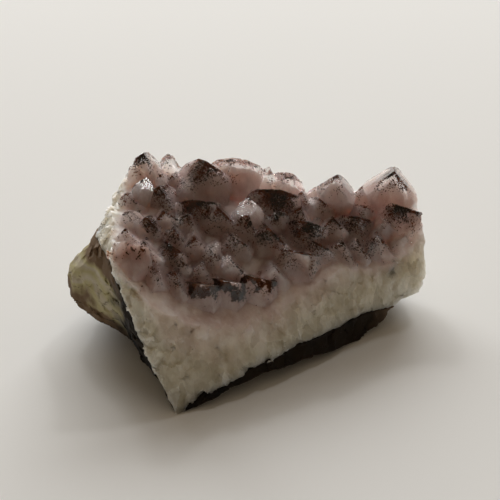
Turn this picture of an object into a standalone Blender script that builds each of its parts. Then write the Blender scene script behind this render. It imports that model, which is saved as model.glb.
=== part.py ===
"""Amethyst druse: a broken piece of geode wall, set down with its crystals up.

Quartz grew on the wall as one crust: milky at its root, clear and violet at its
points, with every point grown into its neighbours. Under it lies the wall itself,
a banded agate rind with a dark outer skin, which runs out to a wing on the left.
So there are two solids: quartz_druse and agate_rind.

The tables are drawn in millimetres, with X to the right, Y to the back and Z up
from the ground. Every place in them is then moved and scaled as one, so that the
piece has the length below and its box stands on the origin.
"""

import math
import random
from collections.abc import Callable
from dataclasses import dataclass

import bmesh
import bpy
import numpy as np
from mathutils import Matrix, Vector, noise

# How long the whole specimen is from the tip of its wing to its right end, in millimetres.
LENGTH = 70.0
# The length and the middle of the same box as the tables draw it.
DRAWN_LENGTH = 70.2
DRAWN_MIDDLE = (0.85, 0.09)
METRES = 0.001

# The contact between quartz and rind is left this far open, so that the solids don't touch.
CONTACT_GAP = 0.3

# Broken faces are rough: how far they wander from the drawn outline, over what distance,
# and how much finer and weaker a second roughness on top of it is.
BREAK_ROUGHNESS = 0.8
BREAK_GRAIN = 5.0
FINE_GRAIN = BREAK_GRAIN / 2.7
FINE_SHARE = 0.6
BREAK_SEED = 5

# A quartz point's end faces stand this far from its long axis, as quartz has them, and
# its sides draw in towards the root.
END_FACE_ANGLE = 38.2
ROOT_TAPER_ANGLE = 5.0
# How far a point is rooted in the crust, and how far its axis follows the crust's own tilt.
ROOT_DEPTH = 3.2
FLOOR_PULL = 0.5
# As shares of a point's width: how unequal its sides are, how much smaller every second
# end face is, and how a chisel tip lowers two opposite end faces and raises the rest.
SIDE_SPREAD = 0.045
MINOR_FACE_STEP = 0.16
CHISEL_SINK = 0.12
CHISEL_RISE = 0.30

# Small points fill the floor of the druse between the main ones.
FILL_SPACING = 4.3
FILL_WIDTH = (4.4, 6.4)
FILL_HEIGHT = (2.2, 3.6)
FILL_RIGHT = (-14.0, 14.0)
FILL_BACK = (-16.0, 8.0)
FILL_CHISEL = (0.0, 0.35)
FILL_SEED = 11
FILL_RIM_MARGIN = 0.6
# A small point stands clear of a main one by this share of their widths.
FILL_CLEARANCE = 0.36
# How far a small point stands behind the broken front, as a share of its width.
FILL_FRONT_DEPTH = 0.7

# The flat spot that the piece stands on, as a share of its outline, and the shallow arch
# between that spot and the foot of the break.
SOLE_MIDDLE = (0.0, 3.5)
SOLE_SHARE = 0.46
ARCH_SHARE = 0.74
ARCH_HEIGHT = 1.1
ARCH_FOLLOWS_FOOT = 0.35
FOOT_BULGE = 0.3

# The floor of the druse is drawn through rings at these shares of the rim.
FLOOR_MIDDLE = (0.0, 6.5)
FLOOR_RINGS = (0.78, 0.52, 0.26)

# The mesh of the contact sheet, and how far it reaches past the piece on every side.
CONTACT_STEP = 3.6
CONTACT_REACH = (44.0, 32.0)
CONTACT_DEPTH = 30.0


@dataclass(frozen=True)
class Station:
    """One line down the broken side: its top edge, its middle and its foot."""

    rim: tuple[float, float, float]
    waist: tuple[float, float, float]
    foot: tuple[float, float, float]
    bulge: float = 0.0


@dataclass(frozen=True)
class QuartzPoint:
    """One quartz point: where its tip is, how wide it is across, and how it leans."""

    tip: tuple[float, float, float]
    width: float
    right: float = 0.0
    back: float = 0.0
    turn: float = 0.0
    chisel: float = 0.0


# The outline, anticlockwise from the front corner that touches the ground.
STATIONS = (
    Station((-24.0, -13.0, 26.5), (-18.5, -18.5, 13.0), (-12.0, -24.7, 0.0)),
    Station((-17.0, -17.0, 20.0), (-13.0, -20.0, 10.5), (-8.8, -23.2, 0.5)),
    Station((-11.0, -16.0, 15.8), (-7.8, -18.6, 8.6), (-4.5, -21.0, 1.9)),
    Station((-4.4, -13.3, 13.1), (-2.0, -15.9, 7.6), (1.0, -18.1, 2.6), 0.4),
    Station((3.0, -9.0, 12.6), (5.0, -11.5, 7.6), (7.0, -13.7, 2.6), 0.4),
    Station((11.7, -2.8, 14.4), (13.1, -5.6, 8.0), (14.5, -8.2, 1.8), 0.3),
    Station((18.5, 1.5, 15.5), (20.0, -0.8, 8.0), (22.3, -0.9, 0.0)),
    Station((25.5, 5.5, 13.5), (27.0, 4.0, 8.5), (27.0, 3.5, 2.0)),
    Station((31.0, 9.5, 15.0), (32.2, 7.0, 9.5), (31.2, 7.0, 4.4)),
    Station((35.0, 13.0, 17.2), (35.6, 10.0, 11.0), (34.8, 9.0, 4.8)),
    Station((34.3, 19.0, 19.2), (34.6, 18.5, 11.0), (32.5, 16.5, 4.6), 0.3),
    Station((27.0, 22.5, 21.5), (28.0, 23.5, 11.0), (25.0, 21.0, 1.5), 0.6),
    Station((14.0, 23.5, 19.0), (14.0, 24.5, 10.0), (13.0, 23.0, 0.4), 0.4),
    Station((0.0, 23.5, 22.5), (0.0, 24.5, 11.0), (0.0, 23.5, 0.4), 0.4),
    Station((-12.0, 23.0, 25.0), (-13.0, 24.0, 12.0), (-13.0, 22.0, 0.5), 0.6),
    Station((-23.0, 17.0, 27.0), (-26.5, 18.0, 15.0), (-24.5, 17.0, 2.0), 0.8),
    Station((-24.8, 8.5, 25.6), (-29.0, 9.5, 17.0), (-31.0, 10.0, 6.0), 0.2),
    Station((-24.2, 1.0, 26.0), (-33.4, 3.5, 14.6), (-34.2, 2.5, 10.0)),
    Station((-23.6, -5.0, 26.3), (-32.5, -0.5, 14.5), (-31.5, -1.5, 8.0)),
    Station((-24.0, -9.5, 26.4), (-24.5, -8.0, 15.0), (-21.5, -7.0, 4.2)),
    Station((-24.2, -12.0, 26.5), (-20.5, -15.0, 12.0), (-15.5, -17.0, 2.5)),
)

# The floor of the druse, from which the points rise, inside its rim.
FLOOR_KNOTS = (
    (-12.0, 8.0, 23.6),
    (0.0, 10.0, 21.6),
    (13.0, 12.0, 19.2),
    (24.0, 13.0, 18.4),
    (-15.0, -4.0, 21.8),
    (-4.0, -2.0, 19.2),
    (8.0, 1.0, 17.6),
)

# The contact between milky quartz above and agate below: along the front, at the
# left edge where it turns up steeply, over the wing, round the back, and inside.
CONTACT_KNOTS = (
    (-12.0, -24.7, -0.6),
    (-15.0, -22.0, 4.6),
    (-18.5, -18.5, 11.0),
    (-21.0, -16.0, 17.0),
    (-24.0, -13.0, 23.0),
    (-9.5, -24.0, 0.7),
    (-3.5, -20.9, 2.6),
    (1.0, -18.5, 3.5),
    (6.5, -14.5, 4.3),
    (13.0, -9.2, 4.6),
    (19.5, -3.4, 4.9),
    (24.5, 0.5, 4.7),
    (28.0, 3.5, 3.8),
    (32.0, 6.5, 3.4),
    (36.0, 10.0, 4.2),
    (34.0, 18.0, 7.5),
    (25.0, 23.0, 8.5),
    (10.0, 24.0, 7.5),
    (-8.0, 24.0, 9.0),
    (-22.0, 20.0, 14.0),
    (-27.0, 9.0, 19.6),
    (-26.5, -1.0, 21.5),
    (-34.0, 2.0, 24.0),
    (-16.0, 0.0, 9.0),
    (0.0, 4.0, 6.0),
    (16.0, 8.0, 6.5),
    (-15.0, -13.0, 7.5),
)

# The faces of the break cut the points that stand at the edge: how far each face is
# from the origin, and which way it looks.
BREAK_FACES = (
    (13.9, (0.479, -0.781, 0.400)),
    (33.2, (-0.870, 0.000, 0.490)),
    (25.0, (0.000, 0.990, 0.140)),
    (38.8, (0.980, 0.150, 0.130)),
)

# The main points, from the back row to the front.
MAIN_POINTS = (
    QuartzPoint((-19.5, 17.0, 31.6), 8.0, right=-6, back=-8, turn=12, chisel=0.1),
    QuartzPoint((-22.0, 16.0, 29.6), 6.0, right=-18, back=-4, turn=40),
    QuartzPoint((-18.5, 20.5, 29.4), 6.0, right=2, back=0, turn=20),
    QuartzPoint((-15.0, 21.0, 29.7), 7.0, right=4, back=-6, turn=86, chisel=0.3),
    QuartzPoint((-13.5, 16.5, 27.6), 7.4, right=-4, back=-10, turn=25, chisel=0.1),
    QuartzPoint((-7.4, 14.0, 31.3), 10.6, right=2, back=-14, turn=60),
    QuartzPoint((-0.9, 19.0, 29.7), 9.4, right=2, back=-8, turn=88, chisel=0.6),
    QuartzPoint((5.0, 21.0, 26.6), 6.2, right=2, back=-4, turn=14, chisel=0.2),
    QuartzPoint((9.5, 20.0, 25.8), 6.8, right=16, back=-6, turn=84, chisel=0.4),
    QuartzPoint((14.0, 21.0, 22.2), 5.6, right=-4, back=0, turn=8),
    QuartzPoint((18.0, 17.0, 26.9), 6.6, right=2, back=-4, turn=2),
    QuartzPoint((23.0, 19.0, 23.2), 6.4, right=-4, back=0, turn=20),
    QuartzPoint((29.2, 16.0, 28.1), 10.4, right=-1, back=-10, turn=22, chisel=0.05),
    QuartzPoint((31.5, 12.5, 22.4), 9.8, right=12, back=-12, turn=84, chisel=0.5),
    QuartzPoint((6.5, 12.0, 26.6), 9.8, right=2, back=-14, turn=88, chisel=0.5),
    QuartzPoint((-16.0, 10.0, 28.0), 7.8, right=-6, back=-10, turn=5, chisel=0.2),
    QuartzPoint((0.6, 9.8, 25.5), 6.0, right=-8, back=42, turn=24),
    QuartzPoint((-9.5, 6.5, 27.2), 9.0, right=-12, back=-12, turn=80, chisel=0.5),
    QuartzPoint((-18.0, 0.5, 26.6), 7.0, right=-12, back=-8, turn=18, chisel=0.1),
    QuartzPoint((-4.5, 5.0, 26.1), 10.8, right=0, back=-12, turn=36, chisel=0.2),
    QuartzPoint((1.0, 4.5, 24.8), 8.8, right=4, back=-10, turn=6, chisel=0.2),
    QuartzPoint((5.0, 2.5, 23.2), 8.8, right=6, back=-8, turn=45, chisel=0.3),
    QuartzPoint((12.5, 6.0, 22.8), 9.6, right=4, back=-10, turn=82, chisel=0.4),
    QuartzPoint((17.0, 8.5, 21.9), 6.8, right=-4, back=-6, turn=30),
    QuartzPoint((22.0, 10.5, 21.4), 7.6, right=2, back=-8, turn=86, chisel=0.3),
    QuartzPoint((28.0, 11.0, 19.9), 9.2, right=6, back=-12, turn=50, chisel=0.2),
    QuartzPoint((26.0, 7.0, 18.4), 9.4, right=2, back=-14, turn=34, chisel=0.1),
    QuartzPoint((19.0, 4.0, 19.2), 8.4, right=2, back=-10, turn=26, chisel=0.2),
    QuartzPoint((14.0, 2.0, 20.2), 8.2, right=0, back=-10, turn=60, chisel=0.2),
    QuartzPoint((10.5, -1.0, 20.4), 10.4, right=8, back=-10, turn=92, chisel=0.6),
    QuartzPoint((-10.5, 3.0, 25.7), 7.6, right=-4, back=-8, turn=10, chisel=0.2),
    QuartzPoint((-15.0, 3.5, 26.4), 7.8, right=-8, back=-6, turn=44, chisel=0.1),
    QuartzPoint((-13.0, -1.0, 25.2), 8.4, right=-6, back=-10, turn=22, chisel=0.2),
    QuartzPoint((-13.5, -5.5, 24.2), 7.6, right=-8, back=-8, turn=50, chisel=0.1),
    QuartzPoint((-9.0, -2.5, 23.8), 7.8, right=-2, back=-10, turn=34, chisel=0.1),
    QuartzPoint((-5.5, -4.0, 22.6), 8.4, right=0, back=-10, turn=12, chisel=0.3),
    QuartzPoint((-2.0, -0.5, 23.0), 8.4, right=-4, back=-10, turn=50, chisel=0.1),
    QuartzPoint((-2.0, -5.5, 20.8), 8.6, right=2, back=-10, turn=40, chisel=0.2),
    QuartzPoint((-7.5, -7.5, 20.9), 8.2, right=-4, back=-10, turn=20, chisel=0.2),
    QuartzPoint((-2.5, -9.0, 18.6), 8.6, right=0, back=-12, turn=90, chisel=0.6),
    QuartzPoint((-7.5, -11.0, 19.3), 8.0, right=-4, back=-12, turn=92, chisel=0.6),
    QuartzPoint((2.5, -7.0, 18.2), 8.2, right=4, back=-12, turn=86, chisel=0.6),
    QuartzPoint((-12.0, -11.0, 21.6), 8.0, right=-6, back=-10, turn=10, chisel=0.3),
    QuartzPoint((-21.2, -11.5, 28.4), 8.6, right=-24, back=-8, turn=75, chisel=0.4),
    QuartzPoint((-18.0, -8.5, 26.6), 7.6, right=-14, back=-6, turn=30, chisel=0.1),
    QuartzPoint((-16.5, -12.0, 24.4), 7.6, right=-12, back=-8, turn=6, chisel=0.2),
    QuartzPoint((-21.5, -5.0, 27.2), 7.4, right=-20, back=-2, turn=30, chisel=0.1),
    QuartzPoint((6.0, -4.5, 18.6), 7.8, right=8, back=-10, turn=44, chisel=0.1),
    QuartzPoint((11.0, 9.5, 23.6), 8.0, right=6, back=-10, turn=20, chisel=0.2),
    QuartzPoint((14.5, 14.5, 23.2), 7.8, right=4, back=-8, turn=50, chisel=0.1),
    QuartzPoint((11.5, 16.5, 23.4), 6.8, right=0, back=-8, turn=10, chisel=0.2),
    QuartzPoint((23.5, 14.5, 21.8), 8.0, right=0, back=-8, turn=70, chisel=0.3),
    QuartzPoint((22.0, 5.5, 18.3), 7.8, right=2, back=-10, turn=30, chisel=0.1),
    QuartzPoint((31.5, 9.0, 17.6), 7.6, right=14, back=-10, turn=20, chisel=0.1),
    QuartzPoint((-22.5, 9.0, 27.2), 7.6, right=-18, back=-2, turn=14, chisel=0.1),
    QuartzPoint((-18.8, 12.6, 28.4), 4.0, right=10, back=40, turn=34),
    QuartzPoint((-21.5, 1.5, 27.4), 7.0, right=-18, back=-4, turn=8, chisel=0.2),
)


# The last two stations stand in the undercut below the rim's left edge, so the floor
# is drawn without them.
RIM_STATIONS = STATIONS[:19]

Height = Callable[[float, float], float]


def thin_plate(knots) -> Height:
    """The smoothest height z(x, y) through the knots, as a bent thin plate takes it."""
    knots = np.array(knots, float)
    places = knots[:, :2]

    def bending(a, b):
        squared = ((a[:, None, :] - b[None, :, :]) ** 2).sum(axis=2)
        return squared * np.log(squared + 1e-12)

    count = len(knots)
    flat = np.column_stack([np.ones(count), places])
    system = np.zeros((count + 3, count + 3))
    system[:count, :count] = bending(places, places)
    system[:count, count:] = flat
    system[count:, :count] = flat.T
    weights = np.linalg.solve(system, np.concatenate([knots[:, 2], np.zeros(3)]))

    def height(x: float, y: float) -> float:
        bent = bending(np.array([[x, y]], float), places) @ weights[:count]
        return float(bent[0] + weights[count:] @ np.array([1.0, x, y]))

    return height


def slope(height: Height, x: float, y: float, reach: float) -> tuple[float, float]:
    """How steeply the height rises along X and along Y, measured over the reach."""
    along_x = (height(x + reach, y) - height(x - reach, y)) / (2 * reach)
    along_y = (height(x, y + reach) - height(x, y - reach)) / (2 * reach)
    return along_x, along_y


def between(a, b, share: float) -> Vector:
    """The place that lies the given share of the way from a to b."""
    return Vector(a).lerp(Vector(b), share)


def moved_out(place: Vector, distance: float) -> Vector:
    """The place moved level, away from the middle of the piece."""
    out = Vector((place.x - SOLE_MIDDLE[0], place.y - SOLE_MIDDLE[1], 0.0))
    return place + out.normalized() * distance


def drawn_in(place, middle: tuple[float, float], share: float) -> tuple[float, float]:
    """The place's x and y, drawn in to that share of its distance from the middle."""
    return (
        middle[0] + (place[0] - middle[0]) * share,
        middle[1] + (place[1] - middle[1]) * share,
    )


def outline_rings(floor: Height) -> list[list[Vector]]:
    """Closed rings round the whole piece, from its sole, up its side, over the druse floor."""
    sole = [(*drawn_in(s.foot, SOLE_MIDDLE, SOLE_SHARE), 0.0) for s in STATIONS]
    arch = [
        (
            *drawn_in(s.foot, SOLE_MIDDLE, ARCH_SHARE),
            ARCH_HEIGHT + ARCH_FOLLOWS_FOOT * s.foot[2],
        )
        for s in STATIONS
    ]
    rings = [
        sole,
        arch,
        [s.foot for s in STATIONS],
        [moved_out(between(s.foot, s.waist, 0.5), FOOT_BULGE) for s in STATIONS],
        [s.waist for s in STATIONS],
        [moved_out(between(s.waist, s.rim, 0.5), s.bulge) for s in STATIONS],
        [s.rim for s in STATIONS],
    ]
    for share in FLOOR_RINGS:
        places = [drawn_in(s.rim, FLOOR_MIDDLE, share) for s in STATIONS]
        rings.append([(x, y, floor(x, y)) for x, y in places])
    return [[Vector(place) for place in ring] for ring in rings]


def wall_block(floor: Height) -> bmesh.types.BMesh:
    """The whole piece before its points: one closed block, flat below and rough all round."""
    mesh = bmesh.new()
    loops = [[mesh.verts.new(place) for place in ring] for ring in outline_rings(floor)]
    count = len(STATIONS)
    for lower, upper in zip(loops, loops[1:]):
        for i in range(count):
            j = (i + 1) % count
            mesh.faces.new((lower[i], lower[j], upper[j], upper[i]))
    mesh.faces.new(reversed(loops[0]))
    middle = mesh.verts.new((*FLOOR_MIDDLE, floor(*FLOOR_MIDDLE)))
    for i in range(count):
        mesh.faces.new((loops[-1][i], loops[-1][(i + 1) % count], middle))
    roughen(mesh)
    return mesh


def roughen(mesh: bmesh.types.BMesh) -> None:
    """Splits the faces above the sole and pushes them about, as a break leaves them."""
    sole_clearance = 0.01
    foot_height = 0.4
    noise.seed_set(BREAK_SEED)
    sides = [e for e in mesh.edges if max(v.co.z for v in e.verts) > sole_clearance]
    bmesh.ops.subdivide_edges(mesh, edges=sides, cuts=1, use_grid_fill=True)
    for vert in mesh.verts:
        if vert.co.z < foot_height:
            continue
        push = noise.noise_vector(vert.co / BREAK_GRAIN)
        push += noise.noise_vector(vert.co / FINE_GRAIN) * FINE_SHARE
        vert.co += push * BREAK_ROUGHNESS
        vert.co.z = max(vert.co.z, 0.0)


def under_contact(contact: Height, offset: float) -> bmesh.types.BMesh:
    """A closed block that fills the space under the contact sheet, moved off it by offset."""
    columns = int(2 * CONTACT_REACH[0] / CONTACT_STEP) + 1
    rows = int(2 * CONTACT_REACH[1] / CONTACT_STEP) + 1
    mesh = bmesh.new()
    grid = []
    for row in range(rows):
        line = []
        for column in range(columns):
            x = (column - (columns - 1) / 2) * CONTACT_STEP
            y = (row - (rows - 1) / 2) * CONTACT_STEP
            along_x, along_y = slope(contact, x, y, reach=0.05)
            upward = Vector((-along_x, -along_y, 1.0)).normalized()
            line.append(mesh.verts.new(Vector((x, y, contact(x, y))) + upward * offset))
        grid.append(line)
    for lower, upper in zip(grid, grid[1:]):
        for i in range(columns - 1):
            mesh.faces.new((lower[i], lower[i + 1], upper[i + 1], upper[i]))
    below = bmesh.ops.extrude_face_region(mesh, geom=list(mesh.faces))
    for item in below["geom"]:
        if isinstance(item, bmesh.types.BMVert):
            item.co.z = -CONTACT_DEPTH
    bmesh.ops.recalc_face_normals(mesh, faces=mesh.faces)
    return mesh


def cut_away(mesh: bmesh.types.BMesh, place, normal) -> None:
    """Cuts off what lies on the normal's side of a plane, and closes the cut."""
    cut = bmesh.ops.bisect_plane(
        mesh,
        geom=mesh.verts[:] + mesh.edges[:] + mesh.faces[:],
        plane_co=place,
        plane_no=normal,
        clear_outer=True,
    )
    edges = [e for e in cut["geom_cut"] if isinstance(e, bmesh.types.BMEdge)]
    if edges:
        bmesh.ops.contextual_create(mesh, geom=edges)


def six_ways() -> list[Vector]:
    """The level directions that the six sides of a quartz point face."""
    angles = (math.radians(60 * side) for side in range(6))
    return [Vector((math.cos(angle), math.sin(angle), 0.0)) for angle in angles]


def long_axis(point: QuartzPoint, floor: Height) -> Matrix:
    """The turn that takes +Z to the point's long axis, which partly follows the floor's tilt."""
    uphill_x, uphill_y = slope(floor, *point.tip[:2], reach=3.0)
    right = point.right - FLOOR_PULL * math.degrees(math.atan(uphill_x))
    back = point.back - FLOOR_PULL * math.degrees(math.atan(uphill_y))
    return (
        Matrix.Rotation(math.radians(right), 3, "Y")
        @ Matrix.Rotation(math.radians(-back), 3, "X")
        @ Matrix.Rotation(math.radians(point.turn), 3, "Z")
    )


def cut_sides(mesh: bmesh.types.BMesh, point: QuartzPoint) -> None:
    """Cuts a block down to the six sides of the point, which draw in towards its root."""
    taper = math.radians(ROOT_TAPER_ANGLE)
    shoulder = point.width / 2 / math.tan(math.radians(END_FACE_ANGLE))
    for side, outward in enumerate(six_ways()):
        uneven = SIDE_SPREAD * math.sin(2.4 * side + point.turn)
        reach = point.width * (0.5 + uneven)
        facing = outward * math.cos(taper) - Vector((0, 0, math.sin(taper)))
        cut_away(mesh, outward * reach - Vector((0, 0, shoulder)), facing)


def cut_end(mesh: bmesh.types.BMesh, point: QuartzPoint) -> None:
    """Cuts the six end faces, three large and three small, to a tip or a chisel edge."""
    rise = math.radians(END_FACE_ANGLE)
    for face, outward in enumerate(six_ways()):
        height = MINOR_FACE_STEP * (face % 2)
        if face % 3 == 0:
            height -= CHISEL_SINK * point.chisel
        else:
            height += CHISEL_RISE * point.chisel
        facing = outward * math.cos(rise) + Vector((0, 0, math.sin(rise)))
        cut_away(mesh, (0, 0, height * point.width), facing)


def quartz_point(point: QuartzPoint, floor: Height) -> bmesh.types.BMesh:
    """One whole quartz point, in its place, and cut off where the piece was broken."""
    length = max(point.tip[2] - floor(*point.tip[:2]), 1.0) + ROOT_DEPTH
    mesh = bmesh.new()
    bmesh.ops.create_cube(mesh, size=4 * point.width + 2 * length)
    cut_away(mesh, (0, 0, -length), (0, 0, -1))
    cut_sides(mesh, point)
    cut_end(mesh, point)
    highest = Vector((0, 0, max(v.co.z for v in mesh.verts)))
    turn = long_axis(point, floor)
    for vert in mesh.verts:
        vert.co = turn @ (vert.co - highest) + Vector(point.tip)
    for distance, facing in BREAK_FACES:
        cut_away(mesh, Vector(facing) * distance, facing)
    return mesh


def inside(x: float, y: float, outline, margin: float) -> bool:
    """True if the place lies within the outline, at least the margin from its edge."""
    within = False
    place = Vector((x, y))
    for start, end in zip(outline, outline[1:] + outline[:1]):
        along = Vector(end) - Vector(start)
        crosses = (start[1] > y) != (end[1] > y)
        if crosses and x < along.x * (y - start[1]) / along.y + start[0]:
            within = not within
        share = (place - Vector(start)).dot(along) / along.dot(along)
        nearest = Vector(start) + along * max(0.0, min(1.0, share))
        if (place - nearest).length < margin:
            return False
    return within


def fill_points(floor: Height) -> list[QuartzPoint]:
    """Small points in the gaps between the main ones, in a loose seeded lattice."""
    chance = random.Random(FILL_SEED)
    outline = [s.rim[:2] for s in RIM_STATIONS]
    farthest = max(max(abs(x), abs(y)) for x, y in outline)
    rank = int(farthest / FILL_SPACING) + 2
    row_spacing = FILL_SPACING * math.sin(math.radians(60))
    found = []
    for row in range(-rank, rank + 1):
        for column in range(-rank, rank + 1):
            stagger = 0.5 * (row % 2)
            x = (column + stagger + chance.uniform(-0.3, 0.3)) * FILL_SPACING
            y = (row + chance.uniform(-0.3, 0.3)) * row_spacing
            small = QuartzPoint(
                tip=(x, y, floor(x, y) + chance.uniform(*FILL_HEIGHT)),
                width=chance.uniform(*FILL_WIDTH),
                right=chance.uniform(*FILL_RIGHT),
                back=chance.uniform(*FILL_BACK),
                turn=chance.uniform(0, 60),
                chisel=chance.uniform(*FILL_CHISEL),
            )
            grown = inside(x, y, outline, FILL_RIM_MARGIN) and stands_clear(small)
            if grown and stands_behind_front(small):
                found.append(small)
    return found


def stands_behind_front(small: QuartzPoint) -> bool:
    """True if the small point is far enough behind the broken front to stay whole."""
    distance, facing = BREAK_FACES[0]
    depth = distance - Vector(facing).dot(Vector(small.tip))
    return depth > FILL_FRONT_DEPTH * small.width


def stands_clear(small: QuartzPoint) -> bool:
    """True if the small point's tip is far enough from the tip of every main point."""
    return all(
        math.dist(small.tip[:2], main.tip[:2]) >= FILL_CLEARANCE * (small.width + main.width)
        for main in MAIN_POINTS
    )


def new_object(name: str, mesh: bmesh.types.BMesh) -> bpy.types.Object:
    """Moves and scales a drawn mesh to its real place in metres and makes it an object."""
    to_middle = Matrix.Translation((-DRAWN_MIDDLE[0], -DRAWN_MIDDLE[1], 0.0))
    mesh.transform(Matrix.Scale(LENGTH / DRAWN_LENGTH * METRES, 4) @ to_middle)
    data = bpy.data.meshes.new(name)
    mesh.to_mesh(data)
    mesh.free()
    made = bpy.data.objects.new(name, data)
    bpy.context.scene.collection.objects.link(made)
    return made


def helper(name: str, mesh: bmesh.types.BMesh) -> bpy.types.Object:
    """An object that only cuts, or is joined to, a part of the model."""
    made = new_object(name, mesh)
    made.hide_render = True
    made.display_type = "WIRE"
    return made


def boolean(target: bpy.types.Object, name: str, operation: str) -> bpy.types.Modifier:
    """Adds an exact Boolean to the target, still without its operand."""
    modifier = target.modifiers.new(name, "BOOLEAN")
    modifier.solver = "EXACT"
    modifier.operation = operation
    return modifier


def surface(name: str, colour: tuple[float, float, float], roughness: float):
    """A plain dielectric material with a linear base colour."""
    material = bpy.data.materials.new(name)
    material.use_nodes = True
    shader = material.node_tree.nodes["Principled BSDF"]
    shader.inputs["Base Color"].default_value = (*colour, 1.0)
    shader.inputs["Roughness"].default_value = roughness
    shader.inputs["Metallic"].default_value = 0.0
    return material


def amethyst() -> bpy.types.Material:
    """Pale greyish violet quartz with glassy faces."""
    return surface("amethyst", (0.19, 0.14, 0.13), roughness=0.15)


def agate() -> bpy.types.Material:
    """Olive brown agate with a dull skin."""
    return surface("agate", (0.09, 0.08, 0.055), roughness=0.4)


def grown_points(floor: Height) -> bpy.types.Collection:
    """All quartz points, each a closed body, in a collection of their own."""
    points = bpy.data.collections.new("points")
    points.hide_render = True
    bpy.context.scene.collection.children.link(points)
    for number, point in enumerate([*MAIN_POINTS, *fill_points(floor)]):
        made = helper(f"point_{number:03d}", quartz_point(point, floor))
        bpy.context.scene.collection.objects.unlink(made)
        points.objects.link(made)
    return points


def quartz_druse(floor: Height, contact: Height) -> bpy.types.Object:
    """The quartz crust with all its points, down to the contact."""
    quartz = new_object("quartz_druse", wall_block(floor))
    quartz.data.materials.append(amethyst())
    join = boolean(quartz, "grow_together", "UNION")
    join.operand_type = "COLLECTION"
    join.collection = grown_points(floor)
    cut = boolean(quartz, "part_from_rind", "DIFFERENCE")
    cut.object = helper("under_quartz", under_contact(contact, CONTACT_GAP / 2))
    return quartz


def agate_rind(floor: Height, contact: Height) -> bpy.types.Object:
    """The agate wall under the contact, out to its wing, with the flat spot below."""
    rind = new_object("agate_rind", wall_block(floor))
    rind.data.materials.append(agate())
    cut = boolean(rind, "part_from_quartz", "INTERSECT")
    cut.object = helper("over_rind", under_contact(contact, -CONTACT_GAP / 2))
    return rind


def build() -> None:
    """Clears the scene and makes the two solids."""
    for old in list(bpy.data.objects):
        bpy.data.objects.remove(old)
    floor = thin_plate([*(s.rim for s in RIM_STATIONS), *FLOOR_KNOTS])
    contact = thin_plate(CONTACT_KNOTS)
    quartz_druse(floor, contact)
    agate_rind(floor, contact)


build()
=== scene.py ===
"""Looks of the amethyst druse: clear points over hazy phantoms, a milky root and an agate rind.

The stone is drawn in millimetres, with X to the right, Y to the back and Z up from the
ground. Each part of it is a field of distances on a regular lattice: a quartz point is
the space inside its own growth faces, and the wall is the space inside its broken
outline. A skin is drawn where the distance is nought, with a crisp edge where two faces
meet, and is then moved and scaled to the row frame in metres.
"""

import logging
import math
import random
from collections.abc import Callable, Iterator
from dataclasses import dataclass, field
from enum import Enum
from itertools import product

import bpy
import numpy as np
from mathutils import Matrix, Vector

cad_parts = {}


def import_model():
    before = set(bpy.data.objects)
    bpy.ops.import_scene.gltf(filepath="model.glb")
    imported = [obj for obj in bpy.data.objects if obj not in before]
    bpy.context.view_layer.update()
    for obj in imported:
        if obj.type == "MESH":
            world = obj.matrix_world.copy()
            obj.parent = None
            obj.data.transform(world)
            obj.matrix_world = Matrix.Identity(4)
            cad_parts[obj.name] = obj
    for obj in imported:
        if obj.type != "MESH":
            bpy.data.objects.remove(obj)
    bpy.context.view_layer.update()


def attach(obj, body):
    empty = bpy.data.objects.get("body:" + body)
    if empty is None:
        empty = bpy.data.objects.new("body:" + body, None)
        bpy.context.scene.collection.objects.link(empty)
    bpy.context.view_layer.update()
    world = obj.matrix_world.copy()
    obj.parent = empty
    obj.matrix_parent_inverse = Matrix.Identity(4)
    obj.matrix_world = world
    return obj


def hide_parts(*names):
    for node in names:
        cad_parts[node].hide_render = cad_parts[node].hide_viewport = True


log = logging.getLogger("druse")

Array = np.ndarray
Place = tuple[float, float, float]
Height = Callable[[Array, Array], Array]
Window = tuple[slice, slice, slice]
Tree = bpy.types.NodeTree
Socket = bpy.types.NodeSocket

# The row frame's size and middle, as the drawing has them.
MM = 0.001
LENGTH = 70.0
DRAWN_LENGTH = 70.2
DRAWN_MIDDLE = (0.85, 0.09)
DRAWN_TO_ROW = LENGTH / DRAWN_LENGTH * MM

QUARTZ_IOR = 1.544
# A field that rises more gently than this isn't evened out any further.
LEAST_STEEPNESS = 0.35


@dataclass(frozen=True)
class Station:
    """One line down the broken side: its top edge, its middle and its foot."""

    rim: Place
    waist: Place
    foot: Place
    bulge: float = 0.0


@dataclass(frozen=True)
class QuartzPoint:
    """One quartz point: its tip, its width across, its lean, and what can be seen in it.

    cap says how thickly iron oxide dusts it under its end faces, and clear how deep the
    clear quartz over its phantom is there, in millimetres.
    """

    tip: Place
    width: float
    right: float = 0.0
    back: float = 0.0
    turn: float = 0.0
    chisel: float = 0.0
    cap: float = 0.8
    clear: float = 0.45


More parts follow.
